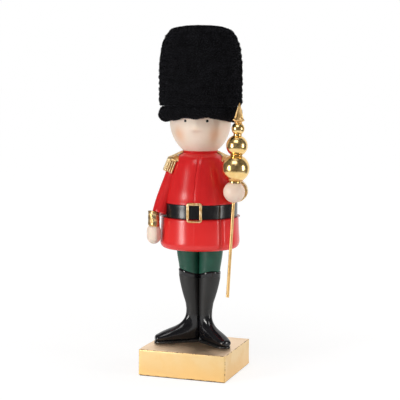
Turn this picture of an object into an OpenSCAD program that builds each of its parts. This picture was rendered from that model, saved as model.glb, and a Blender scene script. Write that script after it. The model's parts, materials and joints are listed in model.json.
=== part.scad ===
// Guardsman display figure on a gilded block, with a plush bearskin hat and a ball-topped mace.
// Millimetres, +Z up. The origin is the middle of the base's underside, and the figure faces -Y.
// Left and right are the figure's own, so its left hand, with the mace, is at +X.

/* [Base] */
// Width of the base, side to side
base_w = 115; // [112:1:130]
// Depth of the base, front to back
base_d = 104; // [98:1:120]
// Height of the base with its felt
base_h = 35; // [30:1:45]
// Thickness of the felt under the base
felt_t = 1.2; // [0.8:0.1:2]
// How far the felt stops short of the block's edge
felt_inset = 0.6; // [0.3:0.1:2]
// Radius of the screws that hold the figure from below
screw_r = 2; // [1.5:0.1:2.5]
// How far the screws reach into the boots
screw_grip = 10; // [8:0.5:12]

/* [Placing of the figure] */
// Figure's axis, to the right of the base's middle
figure_x = 1; // [-2:0.5:3]
// Figure's axis, behind the base's middle
figure_y = 14; // [12:0.5:18]
// Turn of coat, arms and head to the figure's left, in degrees
upper_turn = 10; // [0:1:15]

/* [Boots and legs] */
// Height of the boots with their soles
boot_h = 97; // [92:1:104]
// Radius of the shaft at the top of the boot
calf_r = 14; // [13:0.1:15]
// Radius of the ankle
ankle_r = 8.7; // [8:0.1:9.5]
// Height of the ankle, where the foot becomes the shaft
ankle_h = 45; // [40:1:50]
// Reach of the toe in front of the ankle's middle
toe_reach = 51; // [46:1:53]
// Half the width of the foot
foot_half_w = 9.6; // [8.5:0.1:10.5]
// Turn of each foot away from straight ahead, in degrees
foot_splay = 54; // [48:1:60]
// Thickness of the sole
sole_t = 3; // [2:0.5:4]
// How far the sole stands out round the foot
welt = 0.8; // [0.4:0.1:1.2]
// Length of trouser that shows under the hem
trouser_show = 29; // [24:1:36]
// Radius of a trouser leg at the hem
thigh_r = 15.8; // [15:0.1:17]
// Radius of the steel rod up each leg
rod_leg_r = 2.5; // [2:0.1:3]

/* [Coat] */
// Height of the skirt, from the hem to the belt
skirt_h = 40; // [36:1:46]
// How far the hem stands out from the coat just over the belt
skirt_flare = 4.3; // [3:0.1:5.5]
// Depth of the hollow inside the hem
hem_recess = 5; // [3:0.5:8]
// Thickness of the hem's rim
hem_t = 3.5; // [2.5:0.5:5]
// Width of the belt
belt_h = 19; // [16:0.5:21]
// How far the belt stands out from the coat just over it
belt_proud = 1.4; // [0.9:0.1:1.8]
// Thickness of the belt
belt_t = 2; // [1.5:0.1:2.5]
// Height of the chest, from the belt to the collar
chest_h = 64.8; // [60:0.2:70]
// Radius of the coat just over the belt
chest_r = 47.3; // [46:0.1:49]
// Radius of the coat at the neck
neck_r = 21.5; // [20:0.5:23]
// Thickness of the collar
collar_t = 1.4; // [1:0.1:2]
// Width of the buckle
buckle_w = 21; // [18:0.5:24]
// Height of the buckle
buckle_h = 25.5; // [24:0.5:28]
// Width of the buckle's bars
buckle_bar = 3.6; // [3:0.1:4.5]
// Thickness of the buckle
buckle_t = 2; // [1.5:0.1:2.5]

/* [Arms] */
// How far in from the coat's full width the shoulders' middles lie
shoulder_in = 17.8; // [16.8:0.2:18.6]
// Depth of the shoulders' middle below the top of the coat
shoulder_drop = 14.8; // [14:0.2:16]
// Radius of the sleeve at its fullest
sleeve_r = 11.3; // [10.8:0.1:11.8]
// Gap between the coat and the hanging hand, measured out to the side
hand_gap = 2.4; // [0.7:0.1:3.5]
// How far the hanging arm is turned forward round the figure's axis, in degrees
arm_forward = 16; // [10:1:22]
// How far the hanging wrist swings forward of its shoulder
arm_swing = 12; // [8:0.5:14]
// Height of the hanging wrist below the shoulder
wrist_drop = 64; // [60:1:68]
// Half the width of the hanging cuff, seen from the front
cuff_half_w = 7; // [6.5:0.1:7.5]
// Length of the hanging cuff
cuff_len = 16; // [14:0.5:18]
// Half the width of the hanging hand, seen from the front
hand_half_w = 8.5; // [7.5:0.1:8.7]
// Length of the hanging hand
hand_len = 24; // [20:0.5:26]
// How far the bent arm's elbow stands out from the coat's full width
elbow_out = 3.7; // [2.7:0.1:4.7]
// Height of the bent arm's elbow below the shoulder
elbow_drop = 32.4; // [31:0.2:34]
// Length of the bent forearm's sleeve, forward of the axis
forearm = 22; // [21:0.5:25]
// Radius of the bent arm's cuff
fist_cuff_r = 14; // [13:0.1:14.5]
// Length of the bent arm's cuff
fist_cuff_len = 11; // [9:0.5:13]
// Radius of the fist
fist_r = 13.5; // [12.5:0.1:14]

/* [Epaulettes] */
// How far each epaulette's strap reaches past the middle of the shoulder
strap_past = 7.5; // [6:0.1:8.5]
// Thickness of the strap
strap_t = 1.8; // [1.2:0.1:2.2]
// Spread of the strap round the figure's axis, in degrees
strap_spread = 26; // [20:1:32]
// Number of cords in each fringe
fringe_count = 11; // [7:2:13]
// Spread of the fringe round the sleeve, in degrees
fringe_spread = 140; // [120:5:150]
// Length of the cords
fringe_len = 19; // [15:0.5:21]
// Radius of a cord
fringe_r = 1.1; // [0.8:0.05:1.2]

/* [Head] */
// Half the width of the head
head_r = 39.6; // [38:0.1:40]
// Half the height of the head, if it were whole
head_v = 47; // [45:0.5:49]
// Half the distance between the eyes
eye_half_gap = 14.5; // [13:0.5:16]
// Radius of an eye
eye_r = 1.4; // [1:0.1:2]
// Half the width of the nose
nose_r = 6; // [5:0.1:7]
// Half the height of the nose
nose_v = 8; // [7:0.1:9]

/* [Hat] */
// Height of the hat
hat_h = 123.2; // [112:0.2:134]
// Depth of the hat's lower edge below the middle of the head
hat_drop = 1.7; // [0.5:0.1:3]
// Height by which the hat's lower edge rises over the face
brow_rise = 6; // [4:0.5:8]
// Radius of the crown, with its pile
crown_r = 49.75; // [48.5:0.05:50.5]
// Radius of the rolled rim, with its pile
rim_r = 51; // [50:0.1:51.5]
// Height of the rolled rim
rim_h = 19.5; // [17:0.5:22]
// Depth of the plush over the former
fur_t = 3.7; // [3:0.1:4.5]

/* [Mace] */
// Radius of the rod
rod_r = 2; // [1.6:0.05:2.3]
// Length of rod below the middle of the fist
rod_below = 132.7; // [110:0.1:140]
// Radius of the large ball
ball_large_r = 17.6; // [16:0.1:18]
// Radius of the middle ball
ball_medium_r = 13.5; // [12:0.1:14]
// Radius of the small ball
ball_small_r = 8.2; // [7:0.1:9]
// Radius of the collar that rests on the fist, and of the lower neck
collar_r = 7.6; // [6.5:0.1:8.2]
// Thickness of the mace's collar
mace_collar_t = 2.2; // [1.5:0.1:3]
// Radius of the upper neck
neck_upper_r = 5.3; // [4.5:0.1:5.8]
// Height of the pointed finial
finial_h = 25.6; // [20:0.2:30]
// Radius of the finial's flared skirt
finial_r = 7.8; // [7:0.1:8.5]
// Lean of the mace to the figure's left, in degrees
mace_lean = 3; // [2:0.25:4]
// Lean of the mace to the back, in degrees
mace_tilt = 0.5; // [0:0.25:1]

/* [Hidden] */

$fn = 64;
// Clearances: glued faces, a sliding or turning rod, and curved faces of pieces that part
glue_gap = 0.1;
run_gap = 0.08;
part_gap = 0.35;
// Overrun of every cut
over = 1;
// Sides of a lofted leg or sleeve
loft_sides = 24;
// Steps along a curved outline
arc_steps = 14;

// Levels from the ground up
base_top = base_h;
sole_top = base_top + sole_t;
boot_top = base_top + boot_h;
hem_z = boot_top + trouser_show;
belt_z = hem_z + skirt_h;
chest_z = belt_z + belt_h;
coat_top = chest_z + chest_h;
head_z = coat_top + collar_t;
head_mid = head_z + head_v * sqrt(1 - pow(neck_r / head_r, 2));
rim_z = head_mid - hat_drop;
hat_top = rim_z + hat_h;

// Screws, rods and dowels
screw_head_r = screw_r * 2;
screw_x = ankle_r + rod_leg_r;
rod_foot_z = base_top + screw_grip + rod_leg_r;
rod_top_z = belt_z + belt_h * 0.75;
dowel_r = rod_leg_r;
dowel_len = dowel_r * 7;
neck_dowel_r = rod_leg_r * 2;
neck_dowel_len = neck_dowel_r * 6;
leg_gap = part_gap;

// Belt and hem, out from the coat
belt_r = chest_r + belt_proud;
hem_r = chest_r + skirt_flare;
waist_r = belt_r - belt_t;
buckle_r = max(belt_r, hem_r * 0.95) + part_gap;

// Arm points in the turned frame: shoulder, hanging hand and wrist, elbow, and the middle of the fist
shoulder_x = chest_r - shoulder_in;
shoulder_z = coat_top - shoulder_drop;
cuff_out = hand_half_w * 0.06;
hand_x = max(hem_r * 0.983 + hand_half_w, belt_r + cuff_half_w + cuff_out) + hand_gap;
cuff_x = hand_x - cuff_out;
wrist_x = cuff_x - cuff_half_w * 1.1;
wrist_y = -arm_swing;
wrist_z = shoulder_z - wrist_drop;
cuff_z = wrist_z - cuff_len / 2;
hand_z = cuff_z - cuff_len / 2;
elbow_x = chest_r + elbow_out;
strap_reach = shoulder_x + strap_past;
elbow_z = shoulder_z - elbow_drop;
fist_cut = fist_r * 0.72;
fist_x = elbow_x - fist_r * 0.1;
fist_y = -(forearm + fist_cuff_len + fist_cut);
arm_lean = atan((wrist_x - shoulder_x) / wrist_drop);
bent_lean = atan((elbow_x - shoulder_x) / elbow_drop) * 0.75;

// Mace levels along its own axis, from the middle of the fist
fist_land = fist_r * 0.85;
collar_s = fist_land + run_gap;
ball_cut_r = collar_r * 0.98;
large_s = collar_s + mace_collar_t + run_gap + sqrt(pow(ball_large_r, 2) - pow(ball_cut_r, 2));
neck_lower_t = collar_r * 0.15;
neck_lower_s = large_s + sqrt(pow(ball_large_r, 2) - pow(ball_cut_r, 2));
medium_s = neck_lower_s + neck_lower_t + sqrt(pow(ball_medium_r, 2) - pow(ball_cut_r, 2));
neck_cut_r = neck_upper_r * 0.98;
neck_upper_t = neck_upper_r * 0.47;
neck_upper_s = medium_s + sqrt(pow(ball_medium_r, 2) - pow(neck_cut_r, 2));
small_s = neck_upper_s + neck_upper_t + sqrt(pow(ball_small_r, 2) - pow(neck_cut_r, 2));
finial_neck_r = finial_r * 0.59;
finial_s = small_s + sqrt(pow(ball_small_r, 2) - pow(finial_neck_r, 2));

// Chest outline from the belt to the neck: share of the way in from chest_r to neck_r, share of chest_h
chest_shares = [
    [0, 0], [0.035, 0.11], [0.1, 0.22], [0.18, 0.335], [0.265, 0.455], [0.35, 0.58],
    [0.435, 0.7], [0.515, 0.795], [0.62, 0.875], [0.755, 0.932], [0.9, 0.968], [1, 1]
];
// Skirt outline from the belt to the hem: share of hem_r, share of skirt_h
skirt_shares = [
    [0.95, 1], [0.962, 0.78], [0.981, 0.48], [0.997, 0.22], [1, 0.13], [0.993, 0.055], [0.97, 0.01], [0.95, 0]
];
// Foot sections from toe to ankle: upper point, lower point and half width. A place along the foot is a
// share of toe_reach, a height a share of ankle_h over the sole, and a half width a share of foot_half_w.
foot_shares = [
    [1.01, 0.07, 1.01, 0.01, 0.16], [0.985, 0.125, 0.985, -0.01, 0.5], [0.91, 0.18, 0.91, -0.03, 0.78],
    [0.79, 0.26, 0.79, -0.05, 0.95], [0.63, 0.335, 0.62, -0.06, 1], [0.47, 0.4, 0.44, -0.07, 0.95],
    [0.345, 0.475, 0.24, -0.08, 0.89], [0.26, 0.565, 0.02, -0.08, 0.87], [0.205, 0.665, -0.15, -0.03, 0.87],
    [0.18, 0.76, -0.22, 0.12, 0.87], [0.173, 0.84, -0.215, 0.36, 0.875], [0.172, 0.92, -0.19, 0.65, 0.89]
];
// Shaft sections: share of the way from ankle_h to boot_h, share of the way from ankle_r to calf_r
shaft_shares = [[0.02, 0.03], [0.14, 0.12], [0.3, 0.36], [0.46, 0.57], [0.66, 0.79], [0.85, 0.95], [1, 1]];
// Sole outline from heel to toe: share of toe_reach, share of foot_half_w
sole_shares = [
    [-0.235, 0.3], [-0.2, 0.62], [-0.12, 0.82], [0, 0.89], [0.2, 0.89], [0.42, 0.95], [0.62, 1],
    [0.79, 0.95], [0.9, 0.79], [0.97, 0.55], [1.005, 0.25]
];
// Hanging sleeve: share of the way out to the wrist, share of the way down, and radius and depth as shares
// of sleeve_r
hanging_shares = [
    [-0.1, -0.115, 0.4, 0.4], [-0.06, -0.094, 0.68, 0.68], [0, -0.03, 0.92, 0.92], [0.1, 0.125, 1, 1],
    [0.267, 0.281, 0.95, 0.97], [0.506, 0.469, 0.87, 0.92], [0.72, 0.656, 0.85, 0.9],
    [0.885, 0.844, 0.86, 0.88], [1, 1, 0.88, 0.88]
];
// Bent sleeve: share of the way out to the elbow, share of the forearm, share of the way down, radius share
bent_shares = [
    [-0.1, 0, -0.227, 0.4], [-0.06, 0, -0.186, 0.68], [0, 0, -0.06, 0.92], [0.16, 0, 0.25, 1],
    [0.4, 0, 0.53, 0.96], [0.63, 0.02, 0.7, 0.93], [0.84, 0.14, 0.855, 0.91], [0.965, 0.37, 0.95, 0.9],
    [1, 0.66, 1, 0.9], [1, 1, 1, 0.92]
];
// Hanging hand from the wrist down: share of hand_len, share of hand_half_w
hand_shares = [
    [0, 0.74], [0.08, 0.87], [0.2, 0.97], [0.45, 1], [0.65, 0.97], [0.82, 0.8], [0.94, 0.48], [1, 0.12]
];
hand_depth_share = 1.25;
// Finial from its foot to its point: share of finial_r, share of finial_h
finial_shares = [
    [0.59, 0], [0.57, 0.06], [0.78, 0.1], [0.96, 0.14], [1, 0.18], [0.8, 0.235], [0.68, 0.34],
    [0.55, 0.5], [0.37, 0.69], [0.2, 0.86], [0.05, 0.98], [0, 1]
];

// Place pieces on the figure's axis, and turn the upper ones with the coat
module on_axis() translate([figure_x, figure_y, 0]) children();
module turned() on_axis() rotate([0, 0, upper_turn]) children();
// Mirror a left piece to the right
module sided(side) mirror([side < 0 ? 1 : 0, 0, 0]) children();
// Place a piece of an arm, on the right mirrored and turned forward with the hanging arm
module armed(side) rotate([0, 0, side < 0 ? arm_forward : 0]) sided(side) children();
// The mace's own frame: Z along the rod, zero in the middle of the fist
module in_mace() turned() translate([fist_x, fist_y, elbow_z]) rotate([-mace_tilt, mace_lean, 0]) children();

// Closed skin over rings that all have loft_sides points
module skin(rings) {
    n = loft_sides;
    last = len(rings) - 1;
    middles = [for (ring = [rings[0], rings[last]]) [for (axis = [0:2]) sum([for (p = ring) p[axis]]) / n]];
    points = concat([for (ring = rings) each ring], middles);
    walls = [for (k = [0:last - 1], i = [0:n - 1]) let (j = (i + 1) % n)
        each [[k * n + i, (k + 1) * n + j, k * n + j], [k * n + i, (k + 1) * n + i, (k + 1) * n + j]]];
    caps = [for (i = [0:n - 1]) let (j = (i + 1) % n)
        each [[len(points) - 2, i, j], [len(points) - 1, last * n + j, last * n + i]]];
    polyhedron(points, concat(walls, caps));
}
function sum(values, i = 0) = i == len(values) ? 0 : values[i] + sum(values, i + 1);
function angles() = [for (i = [0:loft_sides - 1]) 360 * i / loft_sides];
function unit(v) = v / norm(v);
// A ring square to a path, with one radius across X and another along the side direction
function path_ring(middle, along, r, depth) =
    let (side = unit(cross(along, [1, 0, 0])), up = cross(side, along))
    [for (a = angles()) middle + side * depth * cos(a) + up * r * sin(a)];
// Rings along rows of [x, y, z, radius, depth]
function path_rings(rows) = [for (k = [0:len(rows) - 1])
    let (here = rows[k], next = rows[min(k + 1, len(rows) - 1)], before = rows[max(k - 1, 0)])
    path_ring([here[0], here[1], here[2]], unit([for (i = [0:2]) next[i] - before[i]]), here[3], here[4])];
// Quarter of an ellipse, from its side to its top
function corner(r, v, x, z) = [for (i = [0:arc_steps]) let (a = 90 * i / arc_steps)
    [x + r * cos(a), z + v * sin(a)]];

// Gilded wooden block, drilled from below for the two screws
module base_block() color("goldenrod") difference() {
    translate([-base_w / 2, -base_d / 2, felt_t]) cube([base_w, base_d, base_h - felt_t]);
    for (x = [-screw_x, screw_x]) on_axis() translate([x, 0, felt_t]) {
        translate([0, 0, -over]) cylinder(r = screw_r + glue_gap, h = base_h + 2 * over);
        translate([0, 0, -over]) cylinder(r = screw_head_r + part_gap, h = screw_head_r + over);
    }
}
// Felt glued under the block, over the screw heads
module felt_pad() color("saddlebrown")
    translate([felt_inset - base_w / 2, felt_inset - base_d / 2, 0])
        cube([base_w - 2 * felt_inset, base_d - 2 * felt_inset, felt_t]);
// Countersunk screws, up through the block and sole into each boot
module base_screws() color("silver") for (x = [-screw_x, screw_x]) on_axis() translate([x, 0, 0])
    rotate_extrude() polygon([
        [0, felt_t + screw_r], [screw_head_r, felt_t + screw_r], [screw_head_r, felt_t + screw_r * 1.2],
        [screw_r, felt_t + screw_head_r], [screw_r, base_top + screw_grip - screw_r],
        [0, base_top + screw_grip]
    ]);

// A point of the left foot, from its place along the foot, across it and up, to the figure's frame
function foot_point(along, across, up) = [
    ankle_x() + along * sin(foot_splay) + across * cos(foot_splay),
    across * sin(foot_splay) - along * cos(foot_splay),
    up
];
function ankle_x() = ankle_r + leg_gap / 2;
function foot_ring(row) = [for (a = angles()) let (
    along = toe_reach * ((row[0] + row[2]) + (row[0] - row[2]) * cos(a)) / 2,
    up = ankle_h * ((row[1] + row[3]) + (row[1] - row[3]) * cos(a)) / 2
) foot_point(along, foot_half_w * row[4] * sin(a), sole_top + max(up, 0))];
// A round section of a leg, flat against the other leg's side of the axis
function leg_ring(r, z) = [for (a = angles()) foot_point(r * cos(a), r * sin(a), z) + [r - ankle_r, 0, 0]];
function shaft_ring(row) = leg_ring(
    ankle_r + (calf_r - ankle_r) * row[1],
    base_top + ankle_h + (boot_h - ankle_h) * row[0]
);
module leg_bores(r, from, to) translate([screw_x, 0, from]) cylinder(r = r, h = to - from);
// The other leg's side of the figure, which heels and soles stop short of
module other_side() translate([leg_gap / 2 - base_w, -base_d, 0]) cube([base_w, 2 * base_d, 2 * boot_top]);

// Boot cast in one with its shaft
module boot(side) color("black") on_axis() sided(side) difference() {
    skin(concat([for (row = foot_shares) foot_ring(row)], [for (row = shaft_shares) shaft_ring(row)]));
    leg_bores(screw_r + glue_gap, base_top, base_top + screw_grip + glue_gap);
    leg_bores(rod_leg_r + glue_gap, rod_foot_z - glue_gap, boot_top + over);
    other_side();
}
// Flat sole with a narrow welt
module sole(side) color("dimgray") on_axis() sided(side) difference() {
    linear_extrude(height = sole_top) polygon([
        for (across = [1, -1], i = [0:len(sole_shares) - 1])
            let (row = sole_shares[across > 0 ? i : len(sole_shares) - 1 - i],
                 along = toe_reach * row[0] + welt * (row[0] > 0.5 ? 1 : -1),
                 p = foot_point(along, across * (foot_half_w * row[1] + welt), 0))
            [p[0], p[1]]
    ]);
    translate([-base_w, -base_d, -over]) cube([2 * base_w, 2 * base_d, base_top + over]);
    leg_bores(screw_r + glue_gap, base_top - over, sole_top + over);
    other_side();
}
module boot_right() boot(-1);
module boot_left() boot(1);
module sole_right() sole(-1);
module sole_left() sole(1);

// Steel rod up each leg, from the boot to the waist
module leg_rod(side) color("silver") on_axis() sided(side) leg_bores(rod_leg_r, rod_foot_z, rod_top_z);
module leg_rod_right() leg_rod(-1);
module leg_rod_left() leg_rod(1);

// Trouser leg between boot and coat
module trouser(side) color("darkgreen") on_axis() sided(side) difference() {
    skin([leg_ring(calf_r * 0.985, boot_top), leg_ring((calf_r + thigh_r) / 2, (boot_top + hem_z) / 2),
        leg_ring(thigh_r, hem_z), leg_ring(thigh_r * 1.02, hem_z + hem_recess)]);
    leg_bores(rod_leg_r + glue_gap, boot_top - over, hem_z + hem_recess + over);
}
module trouser_right() trouser(-1);
module trouser_left() trouser(1);

// Both leg rods' bores, in the turned frame of the coat
module rod_bores() rotate([0, 0, -upper_turn]) for (side = [-1, 1]) sided(side)
    leg_bores(rod_leg_r + glue_gap, hem_z, rod_top_z + glue_gap);

// Skirt of the coat, hollow just inside its hem
module coat_skirt() color("firebrick") turned() difference() {
    rotate_extrude() polygon(concat(
        [[0, belt_z]],
        [for (row = skirt_shares) [hem_r * row[0], hem_z + skirt_h * row[1]]],
        [[hem_r * 0.95 - hem_t, hem_z], [hem_r * 0.95 - hem_t, hem_z + hem_recess], [0, hem_z + hem_recess]]
    ));
    rod_bores();
}

function chest_points(grow) = [for (row = chest_shares)
    [chest_r + (neck_r - chest_r) * row[0] + grow, chest_z + chest_h * row[1]]];
// Body of the coat with the belt's seat, drilled for rods, arms and neck
module coat_body() color("firebrick") turned() difference() {
    rotate_extrude() polygon(concat(
        [[0, belt_z], [waist_r, belt_z], [waist_r, chest_z]], chest_points(0), [[0, coat_top]]
    ));
    rod_bores();
    for (side = [-1, 1]) armed(side) shoulder_bore(dowel_r + glue_gap, glue_gap);
    translate([0, 0, coat_top - neck_dowel_len / 2])
        cylinder(r = neck_dowel_r + glue_gap, h = neck_dowel_len);
}
module shoulder_bore(r, longer)
    translate([shoulder_x + sleeve_r * 0.75 + longer, 0, shoulder_z - sleeve_r * 0.3]) rotate([0, -90, 0])
        cylinder(r = r, h = dowel_len + 2 * longer);

// Edge of the collar, which shows as a thin line under the chin
module collar() color("indianred") turned() translate([0, 0, coat_top]) rotate_extrude() polygon([
    [neck_dowel_r + glue_gap, 0], [neck_r, 0], [neck_r + collar_t * 0.7, collar_t * 0.4],
    [neck_r + collar_t * 0.5, collar_t * 0.8], [neck_r, collar_t], [neck_dowel_r + glue_gap, collar_t]
]);

// Belt, a glossy band in the seat round the waist
module belt() color("black") turned() translate([0, 0, belt_z]) rotate_extrude() polygon([
    [waist_r + glue_gap, glue_gap], [belt_r - belt_t * 0.25, glue_gap], [belt_r, belt_t * 0.4],
    [belt_r, belt_h - belt_t * 0.4], [belt_r - belt_t * 0.25, belt_h - glue_gap],
    [waist_r + glue_gap, belt_h - glue_gap]
]);
// Open rectangular buckle, curved to the belt
module belt_buckle() color("gold") turned() intersection() {
    difference() {
        translate([0, 0, belt_z - buckle_h]) cylinder(r = buckle_r + buckle_t, h = belt_h + 2 * buckle_h);
        translate([0, 0, belt_z - buckle_h - over])
            cylinder(r = buckle_r, h = belt_h + 2 * buckle_h + 2 * over);
    }
    translate([0, -buckle_r - buckle_t - over, belt_z + belt_h / 2]) rotate([-90, 0, 0])
        linear_extrude(height = buckle_r) difference() {
            square([buckle_w, buckle_h], center = true);
            square([buckle_w - 2 * buckle_bar, buckle_h - 2 * buckle_bar], center = true);
        }
}

// Everything that an arm lies against: coat, belt and skirt with a glue gap
module coat_envelope() rotate_extrude() polygon(concat(
    [[0, hem_z]],
    [for (i = [len(skirt_shares) - 1:-1:0]) let (row = skirt_shares[i])
        [hem_r * row[0] + glue_gap, hem_z + skirt_h * row[1]]],
    [[belt_r + glue_gap, belt_z + glue_gap], [belt_r + glue_gap, chest_z]],
    chest_points(glue_gap), [[0, coat_top + glue_gap]]
));

// Shoulder strap's form, from the collar to the shoulder's end; the sleeves are cut to lie under it
strap_in_r = neck_r + strap_t * 0.8;
strap_in_z = coat_top - strap_t * 0.55;
strap_out_z = shoulder_z + wrist_drop * 0.115 + strap_t * 0.1;
module strap_form(spread, gap) rotate_extrude(angle = spread) polygon([
    [strap_in_r, strap_in_z - gap], [strap_reach + gap, strap_out_z - gap],
    [strap_reach + gap, strap_out_z + strap_t], [strap_in_r, strap_in_z + strap_t]
]);

// Middle of a section of the hanging sleeve, which swings forward more and more on its way down
function hanging_point(row) = [
    shoulder_x + (wrist_x - shoulder_x) * row[0],
    wrist_y * pow(max(row[0], 0), 2),
    shoulder_z - wrist_drop * row[1]
];
// Direction of the hanging sleeve's end, and the height of its sloping end face
hanging_last = len(hanging_shares) - 1;
end_way = unit(hanging_point(hanging_shares[hanging_last]) - hanging_point(hanging_shares[hanging_last - 1]));
function end_height(x, y) = wrist_z - (end_way[0] * (x - wrist_x) + end_way[1] * (y - wrist_y)) / end_way[2];
// Hanging sleeve, hollowed to lie against the coat
module sleeve_right() color("firebrick") turned() armed(-1) difference() {
    skin(path_rings([for (row = hanging_shares)
        concat(hanging_point(row), [sleeve_r * row[2], sleeve_r * row[3]])]));
    coat_envelope();
    strap_form(360, glue_gap);
    shoulder_bore(dowel_r + glue_gap, glue_gap);
    wrist_bore(dowel_r + glue_gap, glue_gap);
}
// Bent sleeve, from the shoulder round the elbow and forward
module sleeve_left() color("firebrick") turned() difference() {
    skin(path_rings([for (row = bent_shares) [
        shoulder_x + (elbow_x - shoulder_x) * row[0], -forearm * row[1], shoulder_z - elbow_drop * row[2],
        sleeve_r * row[3], sleeve_r * row[3]
    ]]));
    coat_envelope();
    strap_form(360, glue_gap);
    shoulder_bore(dowel_r + glue_gap, glue_gap);
    fist_bore(dowel_r + glue_gap, glue_gap);
}
module shoulder_dowel_right() color("burlywood") turned() armed(-1) shoulder_bore(dowel_r, 0);
module shoulder_dowel_left() color("burlywood") turned() shoulder_bore(dowel_r, 0);

// Dowel through the hanging cuff, from sleeve to hand
module wrist_bore(r, longer)
    translate([cuff_x - cuff_half_w * 0.45, wrist_y, cuff_z - cuff_len * 0.8 - longer])
        cylinder(r = r, h = cuff_len * 1.6 + 2 * longer);
module wrist_dowel_right() color("burlywood") turned() armed(-1) wrist_bore(dowel_r, 0);
// Gilded cuff of the hanging arm, deeper than it is wide, sloped on top like the sleeve's end
function cuff_ring(top) = [for (a = angles()) let (
    x = cuff_x + cuff_half_w * cos(a), y = wrist_y - cuff_half_w * hand_depth_share * sin(a)
) [x, y, top ? end_height(x, y) - glue_gap : hand_z]];
module cuff_right() color("gold") turned() armed(-1) difference() {
    skin([cuff_ring(true), cuff_ring(false)]);
    wrist_bore(dowel_r + glue_gap, glue_gap);
}
// Hanging hand, closed like a mitten
module hand_right() color("bisque") turned() armed(-1) difference() {
    skin([for (row = hand_shares) [for (a = angles()) [
        hand_x + hand_half_w * row[1] * cos(a),
        wrist_y - hand_half_w * hand_depth_share * row[1] * sin(a),
        hand_z - glue_gap - hand_len * row[0]
    ]]]);
    wrist_bore(dowel_r + glue_gap, glue_gap);
}

// Dowel through the bent arm's cuff, from sleeve to fist
module fist_bore(r, longer) translate([fist_x, fist_y + fist_r * 0.35 - longer, elbow_z]) rotate([-90, 0, 0])
    cylinder(r = r, h = fist_cut + fist_cuff_len + longer * 2);
module wrist_dowel_left() color("burlywood") turned() fist_bore(dowel_r, 0);
// Gilded cuff of the bent arm, a thick round ring
module cuff_left() color("gold") turned() difference() {
    translate([elbow_x, -forearm - glue_gap, elbow_z]) rotate([90, 0, 0])
        cylinder(r = fist_cuff_r, h = fist_cuff_len - glue_gap);
    coat_envelope();
    fist_bore(dowel_r + glue_gap, glue_gap);
}
// Fist round the mace: a ball with a land on top for the collar and a through bore for the rod
module fist_left() color("bisque") difference() {
    turned() translate([fist_x, fist_y, elbow_z]) sphere(r = fist_r);
    turned() translate([fist_x - fist_r, fist_y + fist_cut - glue_gap, elbow_z - fist_r]) cube(2 * fist_r);
    turned() fist_bore(dowel_r + glue_gap, glue_gap);
    in_mace() translate([-fist_r, -fist_r, fist_land]) cube(2 * fist_r);
    in_mace() translate([0, 0, -fist_r - over]) cylinder(r = rod_r + run_gap, h = 2 * (fist_r + over));
}

// Shoulder strap, a curved plate
module epaulette() color("gold") rotate([0, 0, -strap_spread / 2]) strap_form(strap_spread, 0);
module epaulette_right() turned() armed(-1) epaulette();
module epaulette_left() turned() epaulette();
// Fringe of cords hanging from a curved band over the sleeve
fringe_ring = sleeve_r + fringe_r + part_gap * 2;
module fringe(lean) translate([shoulder_x, 0, shoulder_z]) rotate([0, -lean, 0]) {
    for (i = [0:fringe_count - 1]) rotate([0, 0, fringe_spread * (i / (fringe_count - 1) - 0.5)])
        translate([fringe_ring, 0, strap_t * 2 - fringe_len]) {
            cylinder(r = fringe_r, h = fringe_len);
            sphere(r = fringe_r);
        }
    translate([0, 0, strap_t * 1.5]) rotate([0, 0, -fringe_spread / 2]) rotate_extrude(angle = fringe_spread)
        translate([fringe_ring - fringe_r * 0.8, 0]) square([fringe_r * 1.6, strap_t]);
}
module fringe_right() color("gold") turned() armed(-1) difference() {
    fringe(arm_lean);
    coat_envelope();
}
module fringe_left() color("gold") turned() difference() {
    fringe(bent_lean);
    coat_envelope();
}

// Head, an egg cut flat at the neck, with a soft nose
module head_form(grow) rotate_extrude() polygon([
    for (i = [0:2 * arc_steps]) let (a = 90 * i / arc_steps - 90)
        [(head_r + grow) * cos(a), head_mid + (head_v + grow) * sin(a)]
]);
eye_turn = asin(eye_half_gap / head_r);
module head() color("bisque") turned() difference() {
    union() {
        head_form(0);
        translate([0, nose_r - head_r * 1.075, head_mid - nose_v * 1.15]) rotate_extrude() polygon([
            for (i = [0:2 * arc_steps]) let (a = 90 * i / arc_steps - 90) [nose_r * cos(a), nose_v * sin(a)]
        ]);
    }
    translate([-head_r, -head_r, head_mid - 2 * head_v])
        cube([2 * head_r, 2 * head_r, 2 * head_v - head_mid + head_z]);
    for (side = [-1, 1]) rotate([0, 0, side * eye_turn]) eye_pin(glue_gap);
    translate([0, 0, coat_top - neck_dowel_len / 2])
        cylinder(r = neck_dowel_r + glue_gap, h = neck_dowel_len + glue_gap);
}
// A bead eye on its pin, pushed into the face
module eye_pin(grow) translate([0, -head_r - eye_r * 0.25, head_mid]) rotate([-90, 0, 0])
    cylinder(r = eye_r + grow, h = eye_r * 4 + grow);
module eye(side) color("black") turned() rotate([0, 0, side * eye_turn]) eye_pin(0);
module eye_right() eye(-1);
module eye_left() eye(1);
module neck_dowel() color("burlywood") turned() translate([0, 0, coat_top - neck_dowel_len / 2 + glue_gap])
    cylinder(r = neck_dowel_r, h = neck_dowel_len - glue_gap);

// Outline of a domed drum from its lower edge to its top
crown_corner = fur_t * 4.4;
crown_dome = fur_t * 7;
function drum(r, bottom, top, inset) = concat(
    [[0, bottom], [r, bottom]],
    corner(crown_corner - inset, crown_dome - inset, r - crown_corner + inset, top - crown_dome + inset),
    [[0, top]]
);
core_r = crown_r - fur_t;
crown_z = rim_z + rim_h;
rim_in = fur_t * 0.6;
// Room over the face: all that lies under a plane that rises forward from the hat's lower edge
module brow_room(raise) translate([-2 * rim_r, 0, rim_z + raise]) rotate([-atan(brow_rise / rim_r), 0, 0])
    translate([0, -2 * rim_r, -rim_r]) cube([4 * rim_r, 2 * rim_r, rim_r]);
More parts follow.
